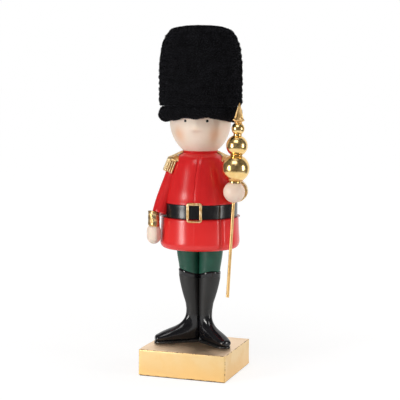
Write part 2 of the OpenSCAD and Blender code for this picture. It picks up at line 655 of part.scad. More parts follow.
// Firm former inside the plush, hollowed to sit on the head
module hat_core() color("dimgray") turned() difference() {
    rotate_extrude() polygon(drum(core_r, rim_z + rim_in, hat_top - fur_t, fur_t));
    brow_room(rim_in);
    head_form(part_gap);
}
// Plush crown, a sleeve with a domed top
module hat_crown() color("black") turned() difference() {
    rotate_extrude() polygon(drum(crown_r, crown_z, hat_top, 0));
    rotate_extrude() polygon(drum(core_r + glue_gap, rim_z, hat_top - fur_t + glue_gap, fur_t - glue_gap));
}
// Plush roll round the hat's lower edge, turned in under the former
module hat_rim() color("black") turned() difference() {
    rotate_extrude() polygon(concat(
        [[head_r, rim_z], [rim_r - rim_h * 0.35, rim_z]],
        [for (i = [-arc_steps:arc_steps]) let (a = 90 * i / arc_steps)
            [rim_r - rim_h * 0.35 * (1 - cos(a)), rim_z + rim_h / 2 + rim_h / 2 * sin(a)]],
        [[head_r, crown_z]]
    ));
    difference() {
        translate([0, 0, rim_z + rim_in - glue_gap]) cylinder(r = core_r + glue_gap, h = rim_h);
        brow_room(rim_in - glue_gap);
    }
    brow_room(0);
    head_form(part_gap);
}

// Rod of the mace, from below the fist up into the finial
module mace_rod() color("goldenrod") in_mace() translate([0, 0, -rod_below])
    cylinder(r = rod_r, h = rod_below + finial_s + finial_h * 0.3);
module rod_bore(gap) translate([0, 0, -over])
    cylinder(r = rod_r + gap, h = finial_s + finial_h * 0.3 + over + glue_gap);
// Loose collar that rests on the fist and carries the mace
module mace_collar() color("gold") in_mace() difference() {
    translate([0, 0, collar_s]) cylinder(r = collar_r, h = mace_collar_t);
    rod_bore(run_gap);
}
// A turned ball, cut flat where it meets its neighbours
module ball(r, middle, low, high) color("gold") in_mace() difference() {
    translate([0, 0, middle]) sphere(r = r);
    translate([-r, -r, low - 2 * r]) cube(2 * r);
    translate([-r, -r, high]) cube(2 * r);
    rod_bore(glue_gap / 2);
}
module mace_ball_large() ball(ball_large_r, large_s, collar_s + mace_collar_t + run_gap, neck_lower_s);
module mace_ball_medium() ball(ball_medium_r, medium_s, neck_lower_s + neck_lower_t, neck_upper_s);
module mace_ball_small() ball(ball_small_r, small_s, neck_upper_s + neck_upper_t, finial_s);
module neck_ring(r, low, t) color("gold") in_mace() difference() {
    translate([0, 0, low]) cylinder(r = r, h = t);
    rod_bore(glue_gap / 2);
}
module mace_neck_lower() neck_ring(collar_r, neck_lower_s, neck_lower_t);
module mace_neck_upper() neck_ring(neck_upper_r, neck_upper_s, neck_upper_t);
// Pointed finial with a flared skirt
module mace_finial() color("gold") in_mace() difference() {
    rotate_extrude() polygon(concat([[0, finial_s]],
        [for (row = finial_shares) [finial_r * row[0], finial_s + finial_h * row[1]]]));
    rod_bore(glue_gap / 2);
}

base_block();
felt_pad();
base_screws();
sole_right();
sole_left();
boot_right();
boot_left();
leg_rod_right();
leg_rod_left();
trouser_right();
trouser_left();
coat_skirt();
coat_body();
collar();
belt();
belt_buckle();
sleeve_right();
shoulder_dowel_right();
cuff_right();
wrist_dowel_right();
hand_right();
sleeve_left();
shoulder_dowel_left();
cuff_left();
wrist_dowel_left();
fist_left();
epaulette_right();
fringe_right();
epaulette_left();
fringe_left();
head();
neck_dowel();
eye_right();
eye_left();
hat_core();
hat_crown();
hat_rim();
mace_rod();
mace_collar();
mace_ball_large();
mace_neck_lower();
mace_ball_medium();
mace_neck_upper();
mace_ball_small();
mace_finial();
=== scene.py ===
import json
import math

import bmesh
import bpy
import numpy as np
from mathutils import Matrix, Vector, noise


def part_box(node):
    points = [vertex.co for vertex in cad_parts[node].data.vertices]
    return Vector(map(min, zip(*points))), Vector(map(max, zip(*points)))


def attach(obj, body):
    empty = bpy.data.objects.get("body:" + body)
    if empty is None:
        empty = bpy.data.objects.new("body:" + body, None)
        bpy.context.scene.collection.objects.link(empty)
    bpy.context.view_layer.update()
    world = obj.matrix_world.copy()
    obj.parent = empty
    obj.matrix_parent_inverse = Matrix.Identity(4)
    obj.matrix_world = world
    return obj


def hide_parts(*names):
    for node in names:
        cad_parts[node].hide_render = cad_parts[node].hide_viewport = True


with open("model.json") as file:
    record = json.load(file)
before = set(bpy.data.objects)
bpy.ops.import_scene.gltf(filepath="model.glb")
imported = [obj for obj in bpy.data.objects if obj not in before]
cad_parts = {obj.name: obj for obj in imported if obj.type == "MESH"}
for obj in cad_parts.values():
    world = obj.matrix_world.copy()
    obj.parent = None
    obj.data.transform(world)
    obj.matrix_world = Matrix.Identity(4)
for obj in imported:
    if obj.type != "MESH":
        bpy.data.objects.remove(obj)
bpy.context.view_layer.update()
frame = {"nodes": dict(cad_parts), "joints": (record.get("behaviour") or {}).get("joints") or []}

# Camera
# A long lens, a metre and a half away, stands level with the plush hat, round to the figure's left, and looks
# a little down. Its place and turn were worked out from the corners of the gilded block.
camera_place = Vector((0.4969, -1.4504, 0.3948))
camera_right = Vector((0.9469, 0.3214, 0.0057))
camera_back = Vector((0.3188, -0.9413, 0.1113)).normalized()
camera_up = camera_back.cross(camera_right).normalized()
camera_right = camera_up.cross(camera_back)
camera_turn = 18.7
lens = bpy.data.cameras.new("camera")
lens.sensor_width = 36
lens.lens = 108
camera = bpy.data.objects.new("camera", lens)
camera_axes = Matrix((camera_right, camera_up, camera_back)).transposed().to_4x4()
camera.matrix_world = Matrix.Translation(camera_place) @ camera_axes
bpy.context.scene.collection.objects.link(camera)
bpy.context.scene.camera = camera

# Studio
# A white sweep under an even fill, with a softbox on each side, one above the lens, a low fill far round to
# the right, and dark cards that only reflections see, so that the polished balls show dark bands.
bpy.context.scene.view_settings.view_transform = "Standard"
fill_level = 0.34
floor_white = 0.95
# The floor glows for the lens: share and strength of the glow near the block and away from it, in metres.
# The rest of it is lit, which keeps a faint shadow at the block's foot.
glow_near, glow_far = (0.62, 1.225), (0.86, 1.11)
near_reach, far_reach = 0.2, 0.8
card_level = 0.10
card_dim, card_bright = card_level * 0.6, card_level * 2.6
studio_middle = Vector((0.0, 0.014, 0.22))


def plug(tree, value, socket):
    if isinstance(value, bpy.types.NodeSocket):
        tree.links.new(value, socket)
    else:
        socket.default_value = value


def node(tree, kind, inputs=None, **settings):
    made = tree.nodes.new(kind)
    for name, value in settings.items():
        setattr(made, name, value)
    for name, value in (inputs or {}).items():
        plug(tree, value, made.inputs[name])
    return made


def maths(tree, operation, *values):
    return node(tree, "ShaderNodeMath", dict(enumerate(values)), operation=operation).outputs[0]


def seen_by_lens_or_gloss(tree):
    rays = node(tree, "ShaderNodeLightPath").outputs
    seen = maths(tree, "MAXIMUM", rays["Is Camera Ray"], rays["Is Glossy Ray"])
    return maths(tree, "MAXIMUM", seen, rays["Is Transmission Ray"])


world = bpy.data.worlds.new("studio")
world.use_nodes = True
bpy.context.scene.world = world
tree = world.node_tree
tree.nodes.clear()
level = maths(tree, "MULTIPLY_ADD", seen_by_lens_or_gloss(tree), 1 - fill_level, fill_level)
sky = node(tree, "ShaderNodeBackground", {"Color": (1, 1, 1, 1), "Strength": level})
node(tree, "ShaderNodeOutputWorld", {"Surface": sky.outputs[0]})

floor_paint = bpy.data.materials.new("floor_paint")
floor_paint.use_nodes = True
tree = floor_paint.node_tree
tree.nodes.clear()
lit = node(tree, "ShaderNodeBsdfDiffuse", {"Color": (floor_white, floor_white, floor_white, 1)})
spot = node(tree, "ShaderNodeTexCoord").outputs["Object"]
away = node(tree, "ShaderNodeVectorMath", {0: spot}, operation="LENGTH").outputs["Value"]
glow_share, glow_strength = [
    node(tree, "ShaderNodeMapRange", {0: away, 1: near_reach, 2: far_reach, 3: near, 4: far}).outputs[0]
    for near, far in zip(glow_near, glow_far)
]
glow = node(tree, "ShaderNodeEmission", {"Color": (1, 1, 1, 1), "Strength": glow_strength})
share = maths(tree, "MULTIPLY", seen_by_lens_or_gloss(tree), glow_share)
mixed = node(tree, "ShaderNodeMixShader", {0: share, 1: lit.outputs[0], 2: glow.outputs[0]})
node(tree, "ShaderNodeOutputMaterial", {"Surface": mixed.outputs[0]})

card_paint = bpy.data.materials.new("card_paint")
card_paint.use_nodes = True
tree = card_paint.node_tree
tree.nodes.clear()
spot = node(tree, "ShaderNodeTexCoord").outputs["Object"]
room = node(tree, "ShaderNodeTexNoise", {"Vector": spot, "Scale": 1.3, "Detail": 2.0})
room_span = {0: room.outputs["Fac"], 1: 0.35, 2: 0.68, 3: card_dim, 4: card_bright}
room_level = node(tree, "ShaderNodeMapRange", room_span)
dim = node(tree, "ShaderNodeEmission", {"Color": (1, 0.97, 0.95, 1), "Strength": room_level.outputs[0]})
node(tree, "ShaderNodeOutputMaterial", {"Surface": dim.outputs[0]})


def stage_sheet(name, points, faces, paint):
    mesh = bpy.data.meshes.new(name)
    mesh.from_pydata(points, [], faces)
    mesh.materials.append(paint)
    sheet = bpy.data.objects.new(name, mesh)
    bpy.context.scene.collection.objects.link(sheet)
    return sheet


def round_from_lens(turn, rise, reach):
    across = math.radians(camera_turn + turn)
    up = math.radians(rise)
    return Vector((math.sin(across) * math.cos(up), -math.cos(across) * math.cos(up), math.sin(up))) * reach


floor_reach, floor_level = 14.0, -0.0002
floor_ways = ((-1, -1), (1, -1), (1, 1), (-1, 1))
floor_corners = [(x * floor_reach, y * floor_reach, floor_level) for x, y in floor_ways]
stage_sheet("floor", floor_corners, [(0, 1, 2, 3)], floor_paint)

card_reach = 2.6
card_turns = range(-144, 117, 10)
card_rises = range(-10, 75, 6)
card_points = [studio_middle + round_from_lens(t, r, card_reach) for r in card_rises for t in card_turns]
card_wide = len(card_turns)
card_faces = []
for row in range(len(card_rises) - 1):
    for k in range(card_wide - 1):
        first = row * card_wide + k
        card_faces.append((first, first + 1, first + card_wide + 1, first + card_wide))
dark_wall = stage_sheet("dark_cards", [tuple(p) for p in card_points], card_faces, card_paint)
floor_card_near, floor_card_far = 0.62, 2.8
over_floor = Vector((0, 0, 0.0005))
near_ring = [round_from_lens(t, 0, floor_card_near) + over_floor for t in card_turns]
far_ring = [round_from_lens(t, 0, floor_card_far) + over_floor for t in card_turns]
ring_faces = [(k, k + 1, card_wide + k + 1, card_wide + k) for k in range(card_wide - 1)]
dark_floor = stage_sheet("dark_floor_card", [tuple(p) for p in near_ring + far_ring], ring_faces, card_paint)
for card in (dark_wall, dark_floor):
    card.visible_camera = False
    card.visible_diffuse = False
    card.visible_transmission = False
    card.visible_volume_scatter = False
    card.visible_shadow = False


def softbox(name, turn, rise, reach, wide, tall, power, tint):
    light = bpy.data.lights.new(name, "AREA")
    light.shape = "RECTANGLE"
    light.size = wide
    light.size_y = tall
    light.energy = power
    light.color = tint
    box = bpy.data.objects.new(name, light)
    place = studio_middle + round_from_lens(turn, rise, reach)
    aim = (place - studio_middle).to_track_quat("Z", "Y")
    box.matrix_world = Matrix.Translation(place) @ aim.to_matrix().to_4x4()
    bpy.context.scene.collection.objects.link(box)
    return box


softbox("softbox_left", -54, 4, 1.5, 0.34, 0.8, 12.0, (1.0, 0.985, 0.96))
softbox("softbox_right", 64, 4, 1.5, 0.26, 0.8, 6.2, (1.0, 0.99, 0.97))
softbox("softbox_top", -14, 52, 1.6, 0.9, 0.6, 6.0, (1.0, 1.0, 1.0))
side_fill = softbox("side_fill", 104, 8, 1.5, 0.6, 1.0, 6.0, (1.0, 0.96, 0.92))
side_fill.visible_glossy = False

# Gilded block
# A rectangular block of wood that carries the figure, covered with gold leaf laid on by hand. The leaf is
# crinkled, and along the edges it is rubbed through to its brown ground.
MM = 0.001
block_edge, block_cell = 1.1, 4.0
# How far the leafed block stands out past the plain one
block_more_low, block_more_high = Vector((0.6, 1.6, 0)), Vector((0.9, 1.0, 0))
block_low, block_high = (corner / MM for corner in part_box("base_block"))
block_low, block_high = block_low - block_more_low, block_high + block_more_high
base_top = block_high.z


def rounded_box(low, high, edge, cell):
    low, high = np.array(low, float), np.array(high, float)
    middle, half = (low + high) / 2, (high - low) / 2
    marks = []
    for size in half:
        inner = size - edge
        near = [inner] + [inner + edge * math.tan(math.radians(a)) for a in (15, 30, 45)]
        close = [inner - d for d in (6.0, 3.5, 2.0, 1.0, 0.4) if inner - d > cell]
        count = max(1, int((inner - 6.0) / cell)) if inner > 6 + cell else 1
        rest = list(np.linspace(0, close[0] if close else inner, count + 1))[:-1]
        side = rest + close + near
        marks.append(sorted([-m for m in side if m > 1e-6] + side))
    points, faces = [], []
    for axis in range(3):
        a, b = (axis + 1) % 3, (axis + 2) % 3
        for sign in (-1, 1):
            start = len(points)
            for u in marks[a]:
                for v in marks[b]:
                    p = np.zeros(3)
                    p[axis], p[a], p[b] = sign * half[axis], u, v
                    kept = np.clip(p, edge - half, half - edge)
                    out = p - kept
                    points.append(middle + kept + out / np.linalg.norm(out) * edge)
            n, m = len(marks[a]), len(marks[b])
            for i in range(n - 1):
                for j in range(m - 1):
                    here, after = start + i * m + j, start + (i + 1) * m + j
                    quad = [here, after, after + 1, here + 1]
                    faces.append(quad if sign > 0 else quad[::-1])
    return np.array(points), faces


def set_piece(name, mesh, body, replaced):
    made = bpy.data.objects.new(name, mesh)
    bpy.context.scene.collection.objects.link(made)
    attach(made, body)
    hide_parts(*replaced)


def piece(name, points, faces, body, replaced, paint, sharp=38, marks=None):
    mesh = bpy.data.meshes.new(name)
    mesh.from_pydata((np.asarray(points, float) * MM).tolist(), [], faces)
    for mark, values in (marks or {}).items():
        mesh.attributes.new(mark, "FLOAT", "POINT").data.foreach_set("value", np.asarray(values, np.float32))
    form = bmesh.new()
    form.from_mesh(mesh)
    bmesh.ops.remove_doubles(form, verts=form.verts, dist=1e-7)
    if form.calc_volume(signed=True) < 0:
        bmesh.ops.reverse_faces(form, faces=form.faces)
    form.to_mesh(mesh)
    form.free()
    mesh.shade_smooth()
    mesh.set_sharp_from_angle(angle=math.radians(sharp))
    mesh.materials.append(paint)
    set_piece(name, mesh, body, replaced)


def group(name, inputs, outputs):
    tree = bpy.data.node_groups.new(name, "ShaderNodeTree")
    for label, value in inputs.items():
        tree.interface.new_socket(label, in_out="INPUT", socket_type="NodeSocketFloat").default_value = value
    for label in outputs:
        tree.interface.new_socket(label, in_out="OUTPUT", socket_type="NodeSocketFloat")
    return tree, node(tree, "NodeGroupInput").outputs, node(tree, "NodeGroupOutput").inputs


def place_group(tree, made, inputs):
    return node(tree, "ShaderNodeGroup", inputs, node_tree=made).outputs


def object_spot(tree):
    return node(tree, "ShaderNodeTexCoord").outputs["Object"]


def level_of(tree):
    return node(tree, "ShaderNodeSeparateXYZ", {"Vector": object_spot(tree)}).outputs["Z"]


def ramp(tree, value, low, high, to_low=0.0, to_high=1.0):
    spread = node(tree, "ShaderNodeMapRange", {0: value, 1: low, 2: high, 3: to_low, 4: to_high})
    spread.interpolation_type = "SMOOTHSTEP"
    return spread.outputs[0]


def mix(tree, share, first, second):
    blend = node(tree, "ShaderNodeMix", data_type="RGBA")
    for name, value in (("Factor", share), ("A", first), ("B", second)):
        socket = next(s for s in blend.inputs if s.name == name and s.enabled)
        plug(tree, (*value, 1) if isinstance(value, tuple) else value, socket)
    return next(s for s in blend.outputs if s.enabled)


# Crinkle of laid gold leaf: soft dents, sharp creases between flats, and flecks where it is rubbed through
leaf, leaf_in, leaf_out = group("laid_leaf", {"Fold size": 120.0, "Rub": 0.0}, ("Height", "Tone", "Bare"))
spot = object_spot(leaf)
fine = maths(leaf, "MULTIPLY", leaf_in["Fold size"], 5.0)
broad = node(leaf, "ShaderNodeTexNoise", {"Vector": spot, "Scale": leaf_in["Fold size"], "Detail": 3.0})
bent = node(leaf, "ShaderNodeVectorMath", {0: broad.outputs["Color"], "Scale": 0.006}, operation="SCALE")
moved = node(leaf, "ShaderNodeVectorMath", {0: spot, 1: bent.outputs[0]}, operation="ADD")
crease = node(leaf, "ShaderNodeTexVoronoi", {"Vector": moved.outputs[0], "Scale": leaf_in["Fold size"]})
crease.feature = "DISTANCE_TO_EDGE"
ridge = ramp(leaf, crease.outputs["Distance"], 0.0, 0.12, 1.0, 0.0)
grit = node(leaf, "ShaderNodeTexNoise", {"Vector": spot, "Scale": fine, "Detail": 4.0, "Roughness": 0.6})
dents = maths(leaf, "ADD", broad.outputs["Fac"], ridge)
leaf.links.new(maths(leaf, "MULTIPLY_ADD", grit.outputs["Fac"], 0.35, dents), leaf_out["Height"])
leaf.links.new(ramp(leaf, broad.outputs["Fac"], 0.35, 0.65), leaf_out["Tone"])
rubbed = maths(leaf, "ADD", grit.outputs["Fac"], leaf_in["Rub"])
leaf.links.new(ramp(leaf, rubbed, 0.92, 1.0), leaf_out["Bare"])


def paint_of(name, color, roughness, metallic=0.0, **sockets):
    paint = bpy.data.materials.new(name)
    paint.use_nodes = True
    tree = paint.node_tree
    surface = next(n for n in tree.nodes if n.type == "BSDF_PRINCIPLED")
    surface.inputs["Base Color"].default_value = (*color, 1)
    surface.inputs["Roughness"].default_value = roughness
    surface.inputs["Metallic"].default_value = metallic
    for label, value in sockets.items():
        surface.inputs[label.replace("_", " ")].default_value = value
    return paint, tree, surface


def feed(tree, surface, label, value):
    tree.links.new(value, surface.inputs[label])


def bump(tree, surface, height, depth):
    relief = node(tree, "ShaderNodeBump", {"Height": height, "Distance": depth * MM, "Strength": 1.0})
    tree.links.new(relief.outputs[0], surface.inputs["Normal"])


# Gold of the sides, of their foot, which is deeper in colour towards the floor, and of the top, which is
# painted paler as a painted reflection
block_gold, block_gold_deep = (0.86, 0.63, 0.32), (0.83, 0.58, 0.27)
block_gold_foot, block_top_painted_reflection = (0.86, 0.53, 0.20), (0.94, 0.71, 0.48)
block_brown = (0.16, 0.065, 0.02)
block_paint, tree, surface = paint_of("block_gold_leaf", block_gold, 0.3, 1.0)
edge_mark = node(tree, "ShaderNodeAttribute", attribute_name="edge").outputs["Fac"]
laid = place_group(tree, leaf, {"Fold size": 48.0, "Rub": maths(tree, "MULTIPLY", edge_mark, 0.47)})
gold = mix(tree, laid["Tone"], block_gold, block_gold_deep)
near_foot = ramp(tree, level_of(tree), 0.0, 0.034, 0.75, 0.0)
gold = mix(tree, near_foot, gold, block_gold_foot)
facing = node(tree, "ShaderNodeNewGeometry").outputs["True Normal"]
upward = node(tree, "ShaderNodeSeparateXYZ", {"Vector": facing}).outputs["Z"]
# Where the block faces up, its gold is painted paler: a painted reflection.
on_top = ramp(tree, upward, 0.75, 0.95)
gold = mix(tree, on_top, gold, block_top_painted_reflection)
feed(tree, surface, "Base Color", mix(tree, laid["Bare"], gold, block_brown))
leaf_rough = ramp(tree, laid["Tone"], 0.0, 1.0, 0.34, 0.42)
feed(tree, surface, "Roughness", maths(tree, "MULTIPLY_ADD", on_top, 0.07, leaf_rough))
feed(tree, surface, "Metallic", ramp(tree, laid["Bare"], 0.0, 1.0, 1.0, 0.1))
bump(tree, surface, laid["Height"], 0.02)

points, faces = rounded_box(block_low, block_high, block_edge, block_cell)
inset = np.minimum(points - np.array(block_low), np.array(block_high) - points)
near_two = np.sort(inset, axis=1)[:, 1]
edge_share = np.exp(-((near_two / 1.6) ** 2))
# The edges are worn back and wander in slow and quick waves, but the lowest 3 mm stay straight on the felt
flat_in = block_edge + 1
slow_wave, quick_wave, worn_back, straight_foot = 0.35, 0.12, 0.3, 3
for k, p in enumerate(points):
    wobble = noise.noise(Vector(p) * 0.045) * slow_wave + noise.noise(Vector(p) * 0.2) * quick_wave
    out = p - np.clip(p, np.array(block_low) + flat_in, np.array(block_high) - flat_in)
    lift = np.linalg.norm(out)
    if lift > 1e-6 and p[2] > block_low.z + straight_foot:
        points[k] = p + out / lift * (wobble - worn_back) * (0.25 + edge_share[k])
piece("block", points, faces, "figure", ["base_block"], block_paint, marks={"edge": edge_share})

# Felt
# A sheet of dense brown felt, so that the block doesn't scratch a shelf. It is cut a little smaller than the
# block and glued under it, over the heads of the two screws.
felt_low, felt_high = (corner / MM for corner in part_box("felt_pad"))
felt_edge, felt_cell = 0.4, 6.0
felt_brown, felt_deep, felt_pale = (0.045, 0.024, 0.014), (0.03, 0.015, 0.009), (0.075, 0.042, 0.026)
felt_paint, tree, surface = paint_of("brown_felt", felt_brown, 0.95, Sheen_Weight=0.3, Sheen_Roughness=0.5)
spot = object_spot(tree)
fuzz = node(tree, "ShaderNodeTexNoise", {"Vector": spot, "Scale": 1600.0, "Detail": 5.0, "Distortion": 1.5})
feed(tree, surface, "Base Color", mix(tree, fuzz.outputs["Fac"], felt_deep, felt_pale))
bump(tree, surface, fuzz.outputs["Fac"], 0.25)
points, faces = rounded_box(felt_low, felt_high, felt_edge, felt_cell)
piece("felt", points, faces, "figure", ["felt_pad"], felt_paint)

# Screws and leg rods
# Bright drawn steel: two countersunk screws come up through the block into the boots, and a rod is set in
# each leg, from the boot to the waist. They are the stiff solids themselves, given their metal here.
steel_paint, tree, surface = paint_of("drawn_steel", (0.56, 0.56, 0.58), 0.3, 1.0)
drawn = node(tree, "ShaderNodeMapping", {"Vector": object_spot(tree), "Scale": (1.0, 1.0, 0.04)})
lines = node(tree, "ShaderNodeTexNoise", {"Vector": drawn.outputs[0], "Scale": 4000.0, "Detail": 3.0})
feed(tree, surface, "Roughness", ramp(tree, lines.outputs["Fac"], 0.3, 0.7, 0.22, 0.42))
bump(tree, surface, lines.outputs["Fac"], 0.02)


def dress(names, paint):
    for name in names:
        held = frame["nodes"][name]
        if not held.material_slots:
            held.data.materials.append(paint)
        for slot in held.material_slots:
            slot.material = paint


dress(["base_screws", "leg_rod_right", "leg_rod_left"], steel_paint)

# Dowels
# Turned beech pegs, with their grain along the peg. They are glued in and join the arms, the hands and the
# head to the coat. Like the screws and rods, they are the stiff solids themselves.
beech, beech_deep, beech_pale = (0.5, 0.31, 0.15), (0.42, 0.24, 0.11), (0.58, 0.38, 0.2)
dowel_paint, tree, surface = paint_of("beech", beech, 0.55)
drawn = node(tree, "ShaderNodeMapping", {"Vector": object_spot(tree), "Scale": (1.0, 1.0, 0.12)})
rings_of_growth = {"Vector": drawn.outputs[0], "Scale": 260.0, "Distortion": 6.0, "Detail": 3.0}
grain = node(tree, "ShaderNodeTexWave", rings_of_growth).outputs["Fac"]
feed(tree, surface, "Base Color", mix(tree, grain, beech_deep, beech_pale))
bump(tree, surface, grain, 0.05)
arm_dowels = ["shoulder_dowel_right", "shoulder_dowel_left", "wrist_dowel_right", "wrist_dowel_left"]
dress(arm_dowels + ["neck_dowel"], dowel_paint)

# Boots
# Two castings in black glaze, each a foot and a tall shaft in one. The shafts are rubbed to a satin, the
# feet are left glossy, and a rounded lip runs round the top, which dips where the boots meet.
figure_axis = (1.0, 14.0)
# Reach of the toe and splay of the foot, for the figure's left side, 1, and its right side, -1
toe_reaches = {1: 47.5, -1: 50.5}
foot_splays = {1: math.radians(54), -1: math.radians(56.5)}
foot_half_w = 9.6
ankle_r, calf_r = 8.7, 14.0
ankle_h = 45.0
leg_gap = 0.35
sole_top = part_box("sole_left")[1].z / MM
boot_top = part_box("boot_left")[1].z / MM
leg_sides = 64
# Rows of the foot from the toe back to the ankle: reach and height in front, the same behind, and width
foot_shares = [
    (1.012, 0.06, 1.012, 0.01, 0.1), (1.004, 0.12, 1.006, 0.0, 0.42), (0.975, 0.165, 0.985, -0.01, 0.66),
    (0.91, 0.2, 0.91, -0.03, 0.83), (0.79, 0.265, 0.79, -0.05, 0.96), (0.63, 0.335, 0.62, -0.06, 1),
    (0.47, 0.4, 0.44, -0.07, 0.95), (0.345, 0.475, 0.24, -0.08, 0.89), (0.26, 0.565, 0.02, -0.08, 0.87),
    (0.205, 0.665, -0.15, -0.03, 0.87), (0.18, 0.76, -0.22, 0.12, 0.87), (0.173, 0.84, -0.215, 0.36, 0.875),
    (0.172, 0.92, -0.19, 0.65, 0.89),
]
# Shaft from the ankle up: share of its height, and of the way from the ankle's radius to the calf's
shaft_shares = [
    (0.02, 0.03), (0.14, 0.12), (0.3, 0.36), (0.46, 0.57), (0.66, 0.79), (0.82, 0.92), (0.93, 0.98),
]
# Lip of the boot: out from the shaft and up from its edge
lip_edge = [
    (-0.1, -3.6), (0.0, -2.8), (0.05, -2.0), (-0.02, -1.2), (-0.16, -0.55), (-0.4, -0.12),
    (-0.65, 0.0), (-0.9, -0.25), (-1.05, -0.9), (-1.1, -3.0), (-1.1, -7.0),
]
# How far the top dips between the boots, and outside on the left one
lip_deep, inner_dip, outer_dips = 3, 6.6, {1: 3.2, -1: 0.0}


def smooth_rows(rows, steps):
    rows = np.asarray(rows, float)
    padded = np.vstack([2 * rows[:1] - rows[1:2], rows, 2 * rows[-1:] - rows[-2:-1]])
    made = []
    for k in range(1, len(padded) - 2):
        a, b, c, d = padded[k - 1], padded[k], padded[k + 1], padded[k + 2]
        slope, bend, twist = c - a, 2 * a - 5 * b + 4 * c - d, 3 * b - a - 3 * c + d
        for t in np.arange(steps) / steps:
            made.append(0.5 * (2 * b + slope * t + bend * t**2 + twist * t**3))
    made.append(rows[-1])
    return np.array(made)


def loft(rings, loop=False):
    rings = np.asarray(rings, float)
    count, sides = rings.shape[:2]
    points = rings.reshape(-1, 3)
    faces = []
    for k in range(count if loop else count - 1):
        after = (k + 1) % count
        for i in range(sides):
            j = (i + 1) % sides
            faces.append((k * sides + i, k * sides + j, after * sides + j, after * sides + i))
    if not loop:
        points = np.vstack([points, rings[0].mean(0), rings[-1].mean(0)])
        low, high = len(points) - 2, len(points) - 1
        for i in range(sides):
            j = (i + 1) % sides
            faces.append((low, j, i))
            faces.append((high, (count - 1) * sides + i, (count - 1) * sides + j))
    return points, faces


def placed(points, turn=0.0, side=1):
    points = np.array(points, float)
    points[:, 0] *= side
    c, s = math.cos(math.radians(turn)), math.sin(math.radians(turn))
    x, y = points[:, 0].copy(), points[:, 1].copy()
    points[:, 0] = x * c - y * s + figure_axis[0]
    points[:, 1] = x * s + y * c + figure_axis[1]
    return points


def foot_place(side, along, across, up):
    splay = foot_splays[side]
    x = ankle_r + leg_gap / 2 + along * math.sin(splay) + across * math.cos(splay)
    y = across * math.sin(splay) - along * math.cos(splay)
    return np.stack([x, y, up + np.zeros_like(x)], axis=-1)


leg_angles = np.arange(leg_sides) * 2 * math.pi / leg_sides


def boot_edge(side):
    outward = np.sin(leg_angles + foot_splays[side])
    inward = 0.5 - 0.5 * outward
    return boot_top - inner_dip * inward**1.5 - outer_dips[side] * np.clip(outward, 0, 1) ** 3


def leg_ring(side, radius, height):
    r = radius + np.zeros(leg_sides)
    ring = foot_place(side, r * np.cos(leg_angles), r * np.sin(leg_angles), height)
    ring[:, 0] += r - ankle_r
    return ring


def boot_rings(side):
    toe_reach = toe_reaches[side]
    square = np.sign(np.sin(leg_angles)) * np.abs(np.sin(leg_angles)) ** 0.9
    rings = []
    for row in smooth_rows(foot_shares, 4):
        along = toe_reach * ((row[0] + row[2]) + (row[0] - row[2]) * np.cos(leg_angles)) / 2
        up = ankle_h * ((row[1] + row[3]) + (row[1] - row[3]) * np.cos(leg_angles)) / 2
        rings.append(foot_place(side, along, foot_half_w * row[4] * square, sole_top + np.maximum(up, 0)))
    edge = boot_edge(side)
    ankle_z = base_top + ankle_h
    for share, wide_share in smooth_rows(shaft_shares, 4):
        height = ankle_z + (boot_top - lip_deep - ankle_z) * share
        height = height + (edge - boot_top) * share**3
        rings.append(leg_ring(side, ankle_r + (calf_r - ankle_r) * wide_share, height))
    for out, up in smooth_rows(lip_edge, 2):
        rings.append(leg_ring(side, calf_r + out, edge + up))
    return rings


# Slow ripple and fine pitting of a brushed glaze. Boots, soles, trousers, coat, belt, flesh, eyes and mace
# share it, each with its own size of ripple.
glaze, glaze_in, glaze_out = group("brushed_glaze", {"Ripple size": 60.0}, ("Height", "Tone"))
spot = object_spot(glaze)
slow = node(glaze, "ShaderNodeTexNoise", {"Vector": spot, "Scale": glaze_in["Ripple size"], "Detail": 2.0})
pits = node(glaze, "ShaderNodeTexNoise", {"Vector": spot, "Scale": 1400.0, "Detail": 2.0})
pitted = maths(glaze, "MULTIPLY_ADD", pits.outputs["Fac"], 0.05, slow.outputs["Fac"])
glaze.links.new(pitted, glaze_out["Height"])
glaze.links.new(ramp(glaze, slow.outputs["Fac"], 0.3, 0.7), glaze_out["Tone"])


def brush_on(tree, surface, ripple, rough_low, rough_high, depth):
    coat_of = place_group(tree, glaze, {"Ripple size": ripple})
    feed(tree, surface, "Roughness", ramp(tree, coat_of["Tone"], 0.0, 1.0, rough_low, rough_high))
    bump(tree, surface, coat_of["Height"], depth)
    return coat_of["Tone"]


foot_black, shaft_black = (0.006, 0.006, 0.008), (0.014, 0.014, 0.014)
# Heights in metres between which the gloss of the foot turns to the satin of the shaft. The lip stays glossy.
gloss_to, satin_from = 0.068, 0.086
boot_paint, tree, surface = paint_of("boot_glaze", foot_black, 0.4)
coat_of = place_group(tree, glaze, {"Ripple size": 90.0})
patchy = node(tree, "ShaderNodeTexNoise", {"Vector": object_spot(tree), "Scale": 45.0, "Detail": 3.0})
uneven_level = maths(tree, "MULTIPLY_ADD", patchy.outputs["Fac"], 0.012, level_of(tree))
satin = ramp(tree, uneven_level, gloss_to, satin_from)
lip_mark = node(tree, "ShaderNodeAttribute", attribute_name="lip").outputs["Fac"]
satin = node(tree, "ShaderNodeMath", {0: satin, 1: lip_mark}, operation="SUBTRACT", use_clamp=True).outputs[0]
feed(tree, surface, "Roughness", ramp(tree, satin, 0.0, 1.0, 0.13, 0.52))
feed(tree, surface, "Base Color", mix(tree, satin, foot_black, shaft_black))
bump(tree, surface, coat_of["Height"], 0.12)

lip_rings = len(smooth_rows(lip_edge, 2))
for side, word in ((1, "left"), (-1, "right")):
    rings = boot_rings(side)
    points, faces = loft(rings)
    lip = np.zeros(len(points))
    lip[(len(rings) - lip_rings - 1) * leg_sides:] = 1.0
    points[:, 0] = np.maximum(points[:, 0], leg_gap / 2)
    name, points = f"boot_{word}", placed(points, 0, side)
    piece(f"{name}_glazed", points, faces, "figure", [name], boot_paint, marks={"lip": lip})

